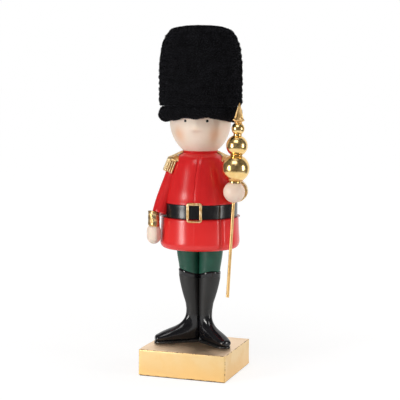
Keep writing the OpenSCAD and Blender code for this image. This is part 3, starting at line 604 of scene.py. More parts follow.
# Soles
# A thin slab under each foot, cast with it and glazed black. Its narrow welt stands out round the upper, and
# the two slabs stand flat on the block.
welt, sole_lift = 0.35, 0.02
# Half outline from the heel to the toe, as shares of the toe's reach and of the foot's half width
sole_shares = [
    (-0.235, 0.3), (-0.2, 0.62), (-0.12, 0.82), (0, 0.89), (0.2, 0.89), (0.42, 0.95), (0.62, 1),
    (0.79, 0.95), (0.9, 0.79), (0.97, 0.55), (1.012, 0.25),
]
sole_paint, tree, surface = paint_of("sole_black_glaze", (0.012, 0.012, 0.012), 0.3)
brush_on(tree, surface, 140.0, 0.22, 0.42, 0.08)
# Edge of the sole: how far in, and how high
sole_edge = [
    (0.9, 0.0), (0.25, 0.15), (0.0, 0.6), (0.0, 1.5), (0.15, 2.0), (0.6, 2.4), (1.2, 2.6), (2.2, 3.0),
]
for side, word in ((1, "left"), (-1, "right")):
    toe_reach = toe_reaches[side]
    half = [(toe_reach * a + welt * (1 if a > 0.5 else -1), foot_half_w * b + welt) for a, b in sole_shares]
    outline = half + [(along, -across) for along, across in reversed(half)]
    closed_outline = smooth_rows(outline + outline[:1], 4)[:-1]
    middle = closed_outline.mean(0)
    rings = []
    for inwards, up in sole_edge:
        reach = closed_outline - middle
        lengths = np.linalg.norm(reach, axis=1, keepdims=True)
        shrunk = middle + reach * (1 - inwards / lengths)
        rings.append(foot_place(side, shrunk[:, 0], shrunk[:, 1], base_top + sole_lift + up))
    points, faces = loft(rings)
    points[:, 0] = np.maximum(points[:, 0], leg_gap / 2)
    name, points = f"sole_{word}", placed(points, 0, side)
    piece(f"{name}_slab", points, faces, "figure", [name], sole_paint)

# Trousers
# Two legs, cast and glazed green, rounder above than below. They stand in the boots and run up, close beside
# each other, under the coat's hem.
thigh_r, cloth_gap = 15.8, leg_gap / 2 * 0.2
hem_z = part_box("coat_skirt")[0].z / MM
trouser_green = (0.010, 0.075, 0.046)
trouser_deep, trouser_pale = (0.008, 0.070, 0.043), (0.013, 0.092, 0.058)
trouser_paint, tree, surface = paint_of("trouser_glaze", trouser_green, 0.42, Specular_IOR_Level=0.4)
tone = brush_on(tree, surface, 70.0, 0.34, 0.46, 0.3)
feed(tree, surface, "Base Color", mix(tree, tone, trouser_deep, trouser_pale))
# Radius of the leg at heights over the boot's edge, up to where it swells evenly to the thigh
cloth_rows = [(12.6, -6.5), (12.75, -1.0), (13.0, 0.0), (13.45, 0.9), (13.7, 2.2), (13.85, 5.0)]
knee_r, knee_up = cloth_rows[-1]
under_hem = 4.5
for side, word in ((1, "left"), (-1, "right")):
    edge = boot_edge(side)
    rings = [leg_ring(side, r, edge + up) for r, up in smooth_rows(cloth_rows, 2)]
    for share in np.linspace(0.12, 1, 12):
        height = edge + knee_up + (hem_z + under_hem - edge - knee_up) * share
        swell = knee_r + (thigh_r - knee_r) * share + 0.25 * math.sin(share * math.pi)
        rings.append(leg_ring(side, swell, height))
    points, faces = loft(rings)
    for k, p in enumerate(points):
        points[k, 1] += noise.noise(Vector((p[0] * 0.05, side * 3.0, p[2] * 0.12))) * 0.35
    points[:, 0] = np.maximum(points[:, 0], cloth_gap)
    name, points = f"trouser_{word}", placed(points, 0, side)
    piece(f"{name}_leg", points, faces, "figure", [name], trouser_paint)

# Skirt of the coat
# The lower part of the red coat, glazed, with a rounded hem, the end of the front seam, and one pressed
# pleat on the figure's left, whose edge runs down from the belt.
upper_turn = 10.0
belt_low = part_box("belt")[0].z / MM
belt_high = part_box("belt")[1].z / MM
coat_sides = 360
hem_r = 51.6
# Radius and height over the hem, from the middle of the underside round the hem to the top
skirt_rows = [
    (0, 5), (42.5, 5), (43.4, 4.4), (44.0, 1.6), (45.0, 0.35), (46.6, 0), (48.2, 0.5), (49.6, 1.6),
    (50.7, 3.3), (51.4, 5.8), (51.7, 9), (51.35, 15), (50.9, 22), (50.6, 28), (50.4, 33), (50.3, 36.6),
    (50.1, 38.8), (49.5, 40.2), (48.3, 40.6), (0, 40.3),
]
skirt_outline = [(r, hem_z + up) for r, up in skirt_rows]
pleat_turn = math.radians(41.5)


def lathe(outline, sides, change=None, steps=3):
    outline = np.asarray(outline, float)
    open_ends = outline[0, 0] < 1e-6
    rows = outline if open_ends else np.vstack([outline, outline[:1]])
    body_rows = smooth_rows(rows, steps)
    body_rows = body_rows[1:-1] if open_ends else body_rows[:-1]
    angles = np.arange(sides) * 2 * math.pi / sides
    radius = np.repeat(body_rows[:, :1], sides, axis=1)
    height = np.repeat(body_rows[:, 1:2], sides, axis=1)
    around = np.repeat(angles[None, :], len(body_rows), axis=0)
    around = np.where(around > math.pi, around - 2 * math.pi, around)
    if change:
        radius, height = change(radius, height, around)
    radius = np.maximum(radius, 0.01)
    rings = np.stack([radius * np.sin(around), -radius * np.cos(around), height], axis=-1)
    return loft(rings, loop=not open_ends)


def bell(x, width):
    return np.exp(-((x / width) ** 2))


def step_up(x, low, high):
    t = np.clip((x - low) / (high - low), 0, 1)
    return t * t * (3 - 2 * t)


def skirt_change(radius, height, around):
    outside = step_up(radius, 46.5, 49.0)
    along = around * hem_r
    seam = -0.22 * bell(along + 0.5, 0.55) + 0.28 * bell(along - 1.0, 1.5)
    past = along - pleat_turn * hem_r
    drop = step_up(height, hem_z + 4, hem_z + 10)
    fold = 0.75 * step_up(past, 0.2, 3.5) * (1 - step_up(past, 5, 16))
    pleat = -0.75 * bell(past, 0.9) - 0.5 * bell(past + 1.6, 2.2) + fold
    slack = 0.28 * np.sin(around * 5 + 0.8) * step_up(height, hem_z + 34, hem_z + 8)
    wave = 0.3 * np.sin(around * 4 + 1.0) * (1 - step_up(height, hem_z + 2, hem_z + 12)) * outside
    return radius + outside * (seam + pleat * drop + slack * 0.6), height + wave


coat_red, upper_deep, upper_pale = (0.66, 0.020, 0.020), (0.60, 0.011, 0.013), (0.64, 0.014, 0.015)
# The skirt is painted brighter, a painted sheen, up to a height in metres
skirt_red_painted_sheen, sheen_full_below, sheen_gone_above = (0.74, 0.024, 0.023), 0.178, 0.212
coat_paint, tree, surface = paint_of("coat_red_glaze", coat_red, 0.26, Specular_IOR_Level=0.5)
tone = brush_on(tree, surface, 34.0, 0.21, 0.26, 0.12)
# Painted sheen: below these heights the red turns to the brighter skirt red.
painted_sheen_share = ramp(tree, level_of(tree), sheen_full_below, sheen_gone_above, 1.0, 0.0)
feed(tree, surface, "Base Color", mix(tree, painted_sheen_share, mix(tree, tone, upper_deep, upper_pale), skirt_red_painted_sheen))
points, faces = lathe(skirt_outline, coat_sides, skirt_change)
piece("coat_skirt_cast", placed(points, upper_turn), faces, "figure", ["coat_skirt"], coat_paint)

# Body of the coat
# A bell from belt to neck, glazed red. The left front laps over the right in one seam from neck to belt,
# and the lower edge rolls out over the belt.
chest_r, neck_r = 47.3, 21.5
coat_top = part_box("coat_body")[1].z / MM
chest_h = coat_top - belt_high
# From the belt up: share of the way in from the chest to the neck, and of the height
chest_shares = [
    (0.035, 0.11), (0.1, 0.22), (0.18, 0.335), (0.265, 0.455), (0.35, 0.58),
    (0.435, 0.7), (0.515, 0.795), (0.62, 0.875), (0.755, 0.932), (0.9, 0.968), (0.985, 0.994),
]
# Radius, and height over the belt's lower or upper edge, of the roll over the belt
under_roll = [(0, 1), (45.8, 1), (46.2, 2)]
over_roll = [(46.4, -1.6), (46.9, -0.5), (47.7, -0.1), (48.05, 0.8), (47.75, 2.6)]
body_outline = [(r, belt_low + up) for r, up in under_roll] + [(r, belt_high + up) for r, up in over_roll]
body_outline += [(chest_r + (neck_r - chest_r) * a, belt_high + chest_h * b) for a, b in chest_shares]
body_outline += [(20.5, coat_top + 0.1), (0, coat_top + 0.1)]


def body_change(radius, height, around):
    outside = step_up(height, belt_high + 0.2, belt_high + 3)
    outside = outside * (1 - step_up(height, coat_top - 5, coat_top - 1))
    slant = 2.6 * step_up(height, belt_high + 14, coat_top)
    along = around * np.maximum(radius, 20) - slant
    seam = -0.8 * bell(along + 0.5, 0.75) + 0.62 * step_up(along, -0.2, 1.3) * (1 - step_up(along, 3.0, 9.0))
    drape = 0.3 * np.sin(around * 6 + 0.5) * (1 - step_up(height, belt_high + 8, belt_high + 45))
    return radius + outside * (seam + 0.5 * drape), height


points, faces = lathe(body_outline, coat_sides, body_change)
piece("coat_body_cast", placed(points, upper_turn), faces, "figure", ["coat_body"], coat_paint)

# Collar
# A thin rounded rim round the neck, cast with the coat and glazed with it. It shows as a bright line under
# the chin.
collar_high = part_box("collar")[1].z / MM
collar_rows = [
    (19.0, coat_top), (21.6, coat_top - 0.4), (22.6, coat_top + 0.1), (22.9, coat_top + 0.8),
    (22.3, collar_high + 0.2), (21.2, collar_high + 0.1), (19.0, collar_high - 0.2),
]
points, faces = lathe(collar_rows, 120)
piece("collar_rim", placed(points, upper_turn), faces, "figure", ["collar"], coat_paint)

# Belt
# A band round the waist, over the line where the coat's skirt meets its body. It is cast, flat across with
# softly rounded edges, and painted in a thick black gloss.
belt_r = 48.7
belt_middle = (belt_low + belt_high) / 2
# Radius and distance in from the edge of the band, from its inside round the edge
belt_edge = [(46.0, 0.6), (47.4, 0.2), (48.3, 0.35), (48.65, 1.2), (belt_r, 3)]
belt_rows = [(r, belt_low + inwards) for r, inwards in belt_edge] + [(belt_r - 0.06, belt_middle)]
belt_rows += [(r, belt_high - inwards) for r, inwards in reversed(belt_edge)]


def belt_change(radius, height, around):
    give = 0.1 * np.sin(around * 7 + 0.3) + 0.06 * np.sin(around * 13 + 1.1)
    return radius + give * step_up(radius, 46.8, 48.3), height


belt_black = (0.006, 0.006, 0.007)
belt_paint, tree, surface = paint_of("belt_gloss", belt_black, 0.1, Coat_Weight=0.15, Coat_Roughness=0.1)
brush_on(tree, surface, 40.0, 0.2, 0.3, 0.2)
points, faces = lathe(belt_rows, 240, belt_change)
piece("belt_band", placed(points, upper_turn), faces, "figure", ["belt"], belt_paint)

# Buckle
# An open rectangular frame with rounded bars, cast and bent to the belt, to which it is glued. It is covered
# with pale gold leaf.
buckle_w, buckle_h, buckle_bar = 19.9, 25.3, 3.5
buckle_seat, buckle_corner, straight_step = 48.75, 2.0, 1.2
# Section of the bar: across from its middle, and out from the belt
bar_rows = [
    (-1.8, 0.0), (-1.8, 0.9), (-1.62, 1.6), (-1.15, 2.15), (-0.4, 2.45),
    (0.4, 2.45), (1.15, 2.15), (1.62, 1.6), (1.8, 0.9), (1.8, 0.0),
]
frame_line = []
half_w, half_h = (buckle_w - buckle_bar) / 2, (buckle_h - buckle_bar) / 2
for cx, cy, start in ((1, 1, 0), (-1, 1, 90), (-1, -1, 180), (1, -1, 270)):
    for a in np.radians(start + np.arange(0, 91, 15)):
        middle = np.array([cx * (half_w - buckle_corner), cy * (half_h - buckle_corner)])
        outward = np.array([math.cos(a), math.sin(a)])
        frame_line.append((*(middle + buckle_corner * outward), *outward))
full_line = []
for k, here in enumerate(frame_line):
    here, after = np.array(here), np.array(frame_line[(k + 1) % len(frame_line)])
    full_line.append(here)
    gap = math.dist(here[:2], after[:2])
    if gap > 3:
        count = int(gap / straight_step)
        full_line += [here + (after - here) * n / count for n in range(1, count)]
rings = []
for x, z, nx, nz in full_line:
    ring = []
    for out, up in bar_rows:
        across, tall = x + nx * out, z + nz * out
        turn = across / buckle_seat
        reach = buckle_seat + up + 0.12 * noise.noise(Vector((x * 0.3, z * 0.3, out)))
        ring.append((reach * math.sin(turn), -reach * math.cos(turn), belt_middle + tall))
    rings.append(ring)

trim_gold = (0.90, 0.69, 0.40)
trim_gold_deep = (0.70, 0.42, 0.15)
trim_brown = (0.10, 0.045, 0.015)


def trim_leaf(name, fold, rub, depth, rough_low, rough_high):
    paint, tree, surface = paint_of(name, trim_gold, 0.3, 1.0)
    laid = place_group(tree, leaf, {"Fold size": fold, "Rub": rub})
    gold = mix(tree, laid["Tone"], trim_gold, trim_gold_deep)
    feed(tree, surface, "Base Color", mix(tree, laid["Bare"], gold, trim_brown))
    feed(tree, surface, "Roughness", ramp(tree, laid["Tone"], 0.0, 1.0, rough_low, rough_high))
    feed(tree, surface, "Metallic", ramp(tree, laid["Bare"], 0.0, 1.0, 1.0, 0.3))
    bump(tree, surface, laid["Height"], depth)
    return paint


buckle_paint = trim_leaf("buckle_gold_leaf", 240.0, 0.24, 0.06, 0.3, 0.42)
points, faces = loft(rings, loop=True)
points = placed(points, upper_turn)
piece("buckle_frame", points, faces, "figure", ["belt_buckle"], buckle_paint)

# Sleeves
# Two arms cast with their shoulders, glazed red like the coat. The right one hangs a little forward and
# spreads, the left one bends forward at the elbow, and each ends in a rounded edge over its cuff.
shoulder_x, shoulder_z = 29.5, coat_top - 14.8
sleeve_r = 11.3
wrist_x, wrist_y, wrist_drop = 53.4, -12.0, 64.0
arm_forward = 16.0
# Rows down the hanging arm: shares of the way out and down, and two half widths as shares of the shoulder's
hanging_shares = [
    (-0.1, -0.115, 0.4, 0.4), (-0.06, -0.094, 0.68, 0.68), (0, -0.03, 0.92, 0.92), (0.1, 0.125, 1, 1),
    (0.267, 0.281, 0.95, 0.97), (0.506, 0.469, 0.87, 0.92), (0.72, 0.656, 0.85, 0.9),
    (0.885, 0.844, 0.86, 0.88), (0.965, 0.945, 0.88, 0.88), (0.99, 0.985, 0.86, 0.86), (1, 1.0, 0.79, 0.79),
]
elbow_x, elbow_drop, forearm = 51.0, 32.4, 22.0
# Rows along the bent arm: shares of the way out, forward and down, and of the half width
bent_shares = [
    (-0.1, 0, -0.227, 0.4), (-0.06, 0, -0.186, 0.68), (0, 0, -0.06, 0.92), (0.16, 0, 0.25, 1),
    (0.4, 0, 0.53, 0.96), (0.63, 0.02, 0.7, 0.93), (0.84, 0.14, 0.855, 0.91), (0.965, 0.37, 0.95, 0.9),
    (1, 0.66, 1, 0.9), (1, 0.93, 1, 0.92), (1, 0.99, 1, 0.88), (1, 1.0, 1, 0.8),
]
sleeve_sides = 72


def path_rings(rows, sides, wrinkle):
    rows = smooth_rows(rows, 5)
    angles = np.arange(sides) * 2 * math.pi / sides
    rings = []
    for k, row in enumerate(rows):
        way = rows[min(k + 1, len(rows) - 1), :3] - rows[max(k - 1, 0), :3]
        way = way / np.linalg.norm(way)
        across = np.cross(way, (1, 0, 0))
        across /= np.linalg.norm(across)
        up = np.cross(across, way)
        spots = [Vector((math.cos(a) * 1.1, math.sin(a) * 1.1, k * 0.16)) for a in angles]
        give = np.array([wrinkle * noise.noise(spot) for spot in spots])
        give = give * math.sin(math.pi * k / (len(rows) - 1))
        ring = row[:3] + np.outer((row[4] + give) * np.cos(angles), across)
        rings.append(ring + np.outer((row[3] + give) * np.sin(angles), up))
    return rings


sleeve_wrinkle = 0.5
hanging_rows = []
for out, down, narrow, deep in hanging_shares:
    x, y = shoulder_x + (wrist_x - shoulder_x) * out, wrist_y * max(out, 0) ** 2
    hanging_rows.append((x, y, shoulder_z - wrist_drop * down, sleeve_r * narrow, sleeve_r * deep))
points, faces = loft(path_rings(hanging_rows, sleeve_sides, sleeve_wrinkle))
points = placed(points, upper_turn + arm_forward, -1)
piece("sleeve_right_cast", points, faces, "figure", ["sleeve_right"], coat_paint)
bent_rows = []
for out, forward, down, wide in bent_shares:
    x, y = shoulder_x + (elbow_x - shoulder_x) * out, -forearm * forward
    bent_rows.append((x, y, shoulder_z - elbow_drop * down, sleeve_r * wide, sleeve_r * wide))
points, faces = loft(path_rings(bent_rows, sleeve_sides, sleeve_wrinkle))
points = placed(points, upper_turn)
piece("sleeve_left_cast", points, faces, "figure", ["sleeve_left"], coat_paint)

# Cuffs
# Two cast bands, covered with gold leaf that was pressed into deep crinkles. The hanging one is oval and
# sloped on top, the other is a thick round ring behind the fist.
cuff_half_w, cuff_deep = 7.35, 8.75
cuff_x = 61.1
cuff_low, cuff_high = 189.9, 207.9
# How fast its edges rise, away from the coat and forward
low_slope, high_slope, front_slope = 0.17, 0.2756, 0.26
cuff_paint = trim_leaf("cuff_gold_leaf", 130.0, 0.2, 0.22, 0.26, 0.4)
# Edge of the band from the bottom to the top: share of its height, and how far out
band_rows = [
    (0.0, -1.3), (0.0, -0.5), (0.03, -0.1), (0.09, 0.1), (0.3, 0.0), (0.55, 0.0),
    (0.8, 0.05), (0.92, 0.15), (0.98, -0.05), (1.0, -0.6), (1.0, -1.4),
]
band_angles = np.arange(96) * 2 * math.pi / 96
dent_right, dent_left = 0.38, 0.42
rings = []
for share, out in smooth_rows(band_rows, 3):
    ring = []
    for a in band_angles:
        dent = dent_right * noise.noise(Vector((math.cos(a) * 3.2, math.sin(a) * 3.2, share * 4.5)))
        x = cuff_x + (cuff_half_w + out + dent) * math.cos(a)
        y = wrist_y - (cuff_deep + out + dent) * math.sin(a)
        low = cuff_low + (x - cuff_x) * low_slope
        high = cuff_high + (x - cuff_x) * high_slope - (y - wrist_y) * front_slope
        ring.append((x, y, low + (high - low) * share))
    rings.append(ring)
points, faces = loft(rings)
points = placed(points, upper_turn + arm_forward, -1)
piece("cuff_right_band", points, faces, "figure", ["cuff_right"], cuff_paint)

elbow_z = shoulder_z - elbow_drop
fist_cuff_r, fist_cuff_len = 14.0, 11.0
rings = []
for share, out in smooth_rows(band_rows, 3):
    ring = []
    for a in band_angles:
        dent = dent_left * noise.noise(Vector((math.cos(a) * 4.4, math.sin(a) * 4.4, 7 + share * 4.0)))
        r = fist_cuff_r + out + dent
        y = -forearm - fist_cuff_len * share
        ring.append((elbow_x + r * math.cos(a), y, elbow_z + r * math.sin(a)))
    rings.append(ring)
points, faces = loft(rings)
points = placed(points, upper_turn)
piece("cuff_left_band", points, faces, "figure", ["cuff_left"], cuff_paint)

# Hanging hand
# A closed mitten, cast and painted in a pale flesh tint, with the thumb laid along its front and faint lines
# between the fingers. A dowel holds it in the cuff.
hand_x, hand_top, hand_len, hand_half_w = 61.1, 190.3, 23.4, 9.0
thumb_at, thumb_out, crease_at, crease_in = 1.75, 1.0, 2.25, 0.35
finger_lines, line_in = (-0.55, 0.0, 0.55), 0.22
# Share of the hand's length, from the wrist down, and of its half width
hand_shares = [
    (0, 0.7), (0.03, 0.78), (0.08, 0.87), (0.2, 0.97), (0.42, 1),
    (0.62, 0.98), (0.76, 0.9), (0.87, 0.72), (0.95, 0.46), (1, 0.1),
]
flesh, flesh_blush = (0.80, 0.63, 0.52), (0.80, 0.42, 0.22)
flesh_deep, flesh_pale = (0.79, 0.62, 0.505), (0.84, 0.69, 0.58)
flesh_glow = {"Subsurface_Weight": 0.08, "Subsurface_Scale": 0.003}
flesh_paint, tree, surface = paint_of("flesh_tint", flesh, 0.42, **flesh_glow)
tone = brush_on(tree, surface, 60.0, 0.38, 0.5, 0.15)
blush = node(tree, "ShaderNodeAttribute", attribute_name="blush").outputs["Fac"]
feed(tree, surface, "Base Color", mix(tree, blush, mix(tree, tone, flesh_deep, flesh_pale), flesh_blush))


def hump(x, middle, width):
    return math.exp(-(((x - middle) / width) ** 2))


rings = []
hand_angles = np.arange(96) * 2 * math.pi / 96
for share, wide in smooth_rows(hand_shares, 5):
    ring = []
    for a in hand_angles:
        x, y = math.cos(a), -math.sin(a)
        thumb = thumb_out * hump(a, thumb_at, 0.28) * hump(share, 0.4, 0.3)
        crease = -crease_in * hump(a, crease_at, 0.12) * hump(share, 0.45, 0.3)
        outer = -a if a < math.pi else 2 * math.pi - a
        fingers = -line_in * sum(hump(outer, line, 0.07) for line in finger_lines) * hump(share, 0.72, 0.22)
        out = hand_half_w * wide + thumb + crease + fingers
        deep = out + hand_half_w * 0.25 * wide
        ring.append((hand_x + x * out, wrist_y + y * deep, hand_top - hand_len * share))
    rings.append(ring)
points, faces = loft(rings)
no_blush = {"blush": np.zeros(len(points))}
points = placed(points, upper_turn + arm_forward, -1)
piece("hand_right_mitten", points, faces, "figure", ["hand_right"], flesh_paint, marks=no_blush)

# Fist
# A round closed hand, cast and bored right through for the mace's rod, with a flat on top where the collar
# of the mace rests. Its fingers are only hinted at. A dowel holds it in the cuff.
spin = next(j for j in frame["joints"] if j["name"] == "mace_spin")
mace_foot = np.array(spin["pos_m"], float) / MM
mace_way = np.array(spin["axis"], float) / np.linalg.norm(spin["axis"])
fist_r, bore_r, fist_land = 13.5, 2.08, 11.475


def on_mace(points):
    across = np.cross(mace_way, (0, 1, 0))
    across /= np.linalg.norm(across)
    deep = np.cross(mace_way, across)
    points = np.asarray(points, float)
    return mace_foot + points[:, :1] * across + points[:, 1:2] * deep + points[:, 2:3] * mace_way


land_r = math.sqrt(fist_r**2 - fist_land**2)
fist_rows = [(bore_r, -12.9), (bore_r + 0.5, -fist_r * 0.985)]
fist_rows += [(fist_r * math.cos(a), fist_r * math.sin(a)) for a in np.radians(np.linspace(-76, 52, 22))]
fist_rows += [(land_r + 0.4, fist_land - 0.35), (land_r - 0.6, fist_land - 0.05)]
fist_rows += [(bore_r + 1.0, fist_land), (bore_r, fist_land - 0.4)]
fist_rows += [(bore_r, s) for s in (8.0, 3.0, -3.0, -8.0)]


def fist_change(radius, height, around):
    outside = step_up(radius, 9.0, 12.0)
    lines = sum(bell(height - z, 0.55) for z in (-6.2, -0.6, 5.0))
    front = bell(np.abs(around) - 0.25, 1.1)
    return radius - 0.14 * outside * lines * front, height


points, faces = lathe(fist_rows, 128, fist_change, steps=2)
faint_blush = {"blush": np.full(len(points), 0.05)}
points = on_mace(points)
piece("fist_left_bored", points, faces, "figure", ["fist_left"], flesh_paint, marks=faint_blush)

# Shoulder straps
# Two curved plates from the collar to the ends of the shoulders, each cast with a cap over the shoulder,
# ribbed along their length like braid and covered with gold leaf.
strap_in_r, strap_in_z = 23.0, coat_top - 0.99
strap_out_r, strap_out_z = 37.0, shoulder_z + wrist_drop * 0.115 + 0.18
strap_t = 1.8
strap_paint = trim_leaf("strap_gold_leaf", 150.0, 0.16, 0.05, 0.26, 0.4)
strap_across = np.linspace(-1, 1, 41)
# Share of the way out along the strap, how far below its line, and how much of its thickness
strap_rows = [
    (-0.02, 0.2, 0.35), (0.0, 0.0, 0.85), (0.04, 0, 1), (0.25, 0, 1), (0.5, 0, 1), (0.75, 0, 1),
    (0.92, 0.05, 1.05), (1.0, 0.25, 1.1), (1.05, 0.7, 1.0), (1.08, 1.2, 0.7), (1.09, 1.6, 0.3),
]
rings = []
for share, drop, thin in strap_rows:
    reach = strap_in_r + (strap_out_r - strap_in_r) * share
    low = strap_in_z + (strap_out_z - strap_in_z) * share - drop
    half = math.radians(9.5) * reach * (1.0 + 0.04 * share)
    top, bottom = [], []
    for u in strap_across:
        ridge = 0.22 * abs(math.cos(u * math.pi * 2.5)) * thin
        crown = 0.5 * (1 - u * u)
        edge = (1 - abs(u) ** 6) ** 0.5
        arc = u * half
        bend = arc * arc / (2 * reach)
        top.append((reach - bend, arc, low + crown + strap_t * thin * edge + ridge))
        bottom.append((reach - bend, arc, low + crown * 0.7))
    rings.append(top + bottom[::-1])
# Cap over the shoulder, from its middle to its rim and back inside, in the frame of the fringe
cap_rows = [
    (0, 9.4), (4.0, 9.2), (7.6, 8.2), (10.6, 6.6), (12.9, 4.9), (14.0, 3.7), (14.2, 2.8),
    (13.6, 2.3), (12.6, 3.4), (10.4, 5.2), (7.4, 6.9), (4.0, 8.0), (0, 8.2),
]
# Cap and fringe lean with the arm, those of the bent one less than its sleeve
bent_lean_share = 0.75
hanging_lean = math.degrees(math.atan((wrist_x - shoulder_x) / wrist_drop))
bent_lean = math.degrees(math.atan((elbow_x - shoulder_x) / elbow_drop))
fringe_lean = {"right": hanging_lean, "left": bent_lean * bent_lean_share}
arm_turn = {"right": upper_turn + arm_forward, "left": upper_turn}


def on_shoulder(points, word, side):
    lean = math.radians(fringe_lean[word])
    points = np.asarray(points, float)
    x = shoulder_x + points[:, 0] * math.cos(lean) - points[:, 2] * math.sin(lean)
    z = shoulder_z + points[:, 0] * math.sin(lean) + points[:, 2] * math.cos(lean)
    return placed(np.stack([x, points[:, 1], z], axis=1), arm_turn[word], side)


for side, word in ((1, "left"), (-1, "right")):
    points, faces = loft(rings)
    cap_points, cap_faces = lathe(cap_rows, 96)
    points = np.vstack([placed(points, arm_turn[word], side), on_shoulder(cap_points, word, side)])
    faces = faces + [tuple(i + len(points) - len(cap_points) for i in face) for face in cap_faces]
    piece(f"strap_{word}_braid", points, faces, "figure", [f"epaulette_{word}"], strap_paint)

# Fringes
# A fan of short cords hangs from a band round each shoulder, under the strap's cap. Band and cords are cast
# in one, the cords nearly smooth, and covered with gold leaf.
fringe_count, fringe_spread, fringe_len = 11, math.radians(140), 18.4
fringe_r, fringe_ring, cord_lift = 1.36, 13.1, 3.2
# Section of the band: out from the ring of cords, and up
holder_rows = [(-0.9, 1.3), (0.5, 1.1), (1.25, 1.6), (1.35, 2.6), (1.1, 3.5), (0.3, 3.9), (-0.9, 3.6)]
holder_past = 0.05


def new_growth(name, sizes, counts):
    tree = bpy.data.node_groups.new(name, "GeometryNodeTree")
    tree.interface.new_socket("Geometry", in_out="INPUT", socket_type="NodeSocketGeometry")
    for kind, values in (("NodeSocketFloat", sizes), ("NodeSocketInt", counts)):
        for label, value in values.items():
            tree.interface.new_socket(label, in_out="INPUT", socket_type=kind).default_value = value
    tree.interface.new_socket("Paint", in_out="INPUT", socket_type="NodeSocketMaterial")
    tree.interface.new_socket("Geometry", in_out="OUTPUT", socket_type="NodeSocketGeometry")
    return tree, node(tree, "NodeGroupInput").outputs


def chance(tree, kind, low, high, seed):
    made = node(tree, "FunctionNodeRandomValue", data_type=kind)
    given = {"Min": low, "Max": high, "Seed": seed}
    for socket in made.inputs:
        if socket.enabled and socket.name in given:
            plug(tree, given[socket.name], socket)
    return next(s for s in made.outputs if s.enabled)


def paint_growth(tree, geometry, paint):
    real = node(tree, "GeometryNodeRealizeInstances", {"Geometry": geometry})
    painted = node(tree, "GeometryNodeSetMaterial", {"Geometry": real.outputs[0], "Material": paint})
    node(tree, "NodeGroupOutput", {"Geometry": painted.outputs[0]})


def fringe_tree():
    sizes = {"Ring": fringe_ring * MM, "Length": fringe_len * MM, "Thickness": fringe_r * MM}
    tree, given = new_growth("cord_fringe", {"Spread": fringe_spread, **sizes}, {"Cords": fringe_count})
    dots = node(tree, "GeometryNodeMeshLine", {"Count": given["Cords"]}, mode="OFFSET")
    last = maths(tree, "SUBTRACT", given["Cords"], 1.0)
    share = maths(tree, "DIVIDE", node(tree, "GeometryNodeInputIndex").outputs[0], last)
    turn = maths(tree, "MULTIPLY", maths(tree, "SUBTRACT", share, 0.5), given["Spread"])
    x = maths(tree, "MULTIPLY", maths(tree, "COSINE", turn), given["Ring"])
    y = maths(tree, "MULTIPLY", maths(tree, "SINE", turn), given["Ring"])
    place = node(tree, "ShaderNodeCombineXYZ", {"X": x, "Y": y})
    moved = node(tree, "GeometryNodeSetPosition", {"Geometry": dots.outputs[0], "Position": place.outputs[0]})
    foot = node(tree, "ShaderNodeCombineXYZ", {"Z": maths(tree, "MULTIPLY", given["Length"], -1.0)})
    cord = node(tree, "GeometryNodeCurvePrimitiveLine", {"End": foot.outputs[0]})
    cut = node(tree, "GeometryNodeResampleCurve", {"Curve": cord.outputs[0], "Count": 28})
    along = node(tree, "GeometryNodeSplineParameter").outputs["Factor"]
    wave = maths(tree, "SINE", maths(tree, "MULTIPLY", along, 56.0))
    ribs = maths(tree, "MULTIPLY_ADD", wave, 0.015, 0.97)
    tip = node(tree, "ShaderNodeMapRange", {0: along, 1: 0.93, 2: 1.0, 3: 1.0, 4: 0.25})
    size = maths(tree, "MULTIPLY", ribs, tip.outputs[0])
    thick = maths(tree, "MULTIPLY", size, given["Thickness"])
    ring = node(tree, "GeometryNodeCurvePrimitiveCircle", {"Resolution": 12, "Radius": 1.0})
    swept = {"Curve": cut.outputs[0], "Profile Curve": ring.outputs[0], "Scale": thick, "Fill Caps": True}
    solid = node(tree, "GeometryNodeCurveToMesh", swept)
    spun = node(tree, "ShaderNodeCombineXYZ", {"Z": turn})
    sway = chance(tree, "FLOAT_VECTOR", (-0.03, -0.05, 0), (0.03, 0.02, 0), 4)
    total = node(tree, "ShaderNodeVectorMath", {0: spun.outputs[0], 1: sway}, operation="ADD")
    hanging = {"Points": moved.outputs[0], "Instance": solid.outputs[0], "Rotation": total.outputs[0]}
    hung = node(tree, "GeometryNodeInstanceOnPoints", hanging)
    paint_growth(tree, hung.outputs[0], given["Paint"])
    return tree


def grown(name, base_mesh, tree, values):
    holder = bpy.data.objects.new(name + "_base", base_mesh)
    bpy.context.scene.collection.objects.link(holder)
    maker = holder.modifiers.new("grow", "NODES")
    maker.node_group = tree
    for socket in tree.interface.items_tree:
        if socket.item_type == "SOCKET" and socket.in_out == "INPUT" and socket.name in values:
            maker[socket.identifier] = values[socket.name]
    bpy.context.view_layer.update()
    ready = holder.evaluated_get(bpy.context.evaluated_depsgraph_get())
    mesh = bpy.data.meshes.new_from_object(ready)
    mesh.name = name
    bpy.data.objects.remove(holder)
    return mesh


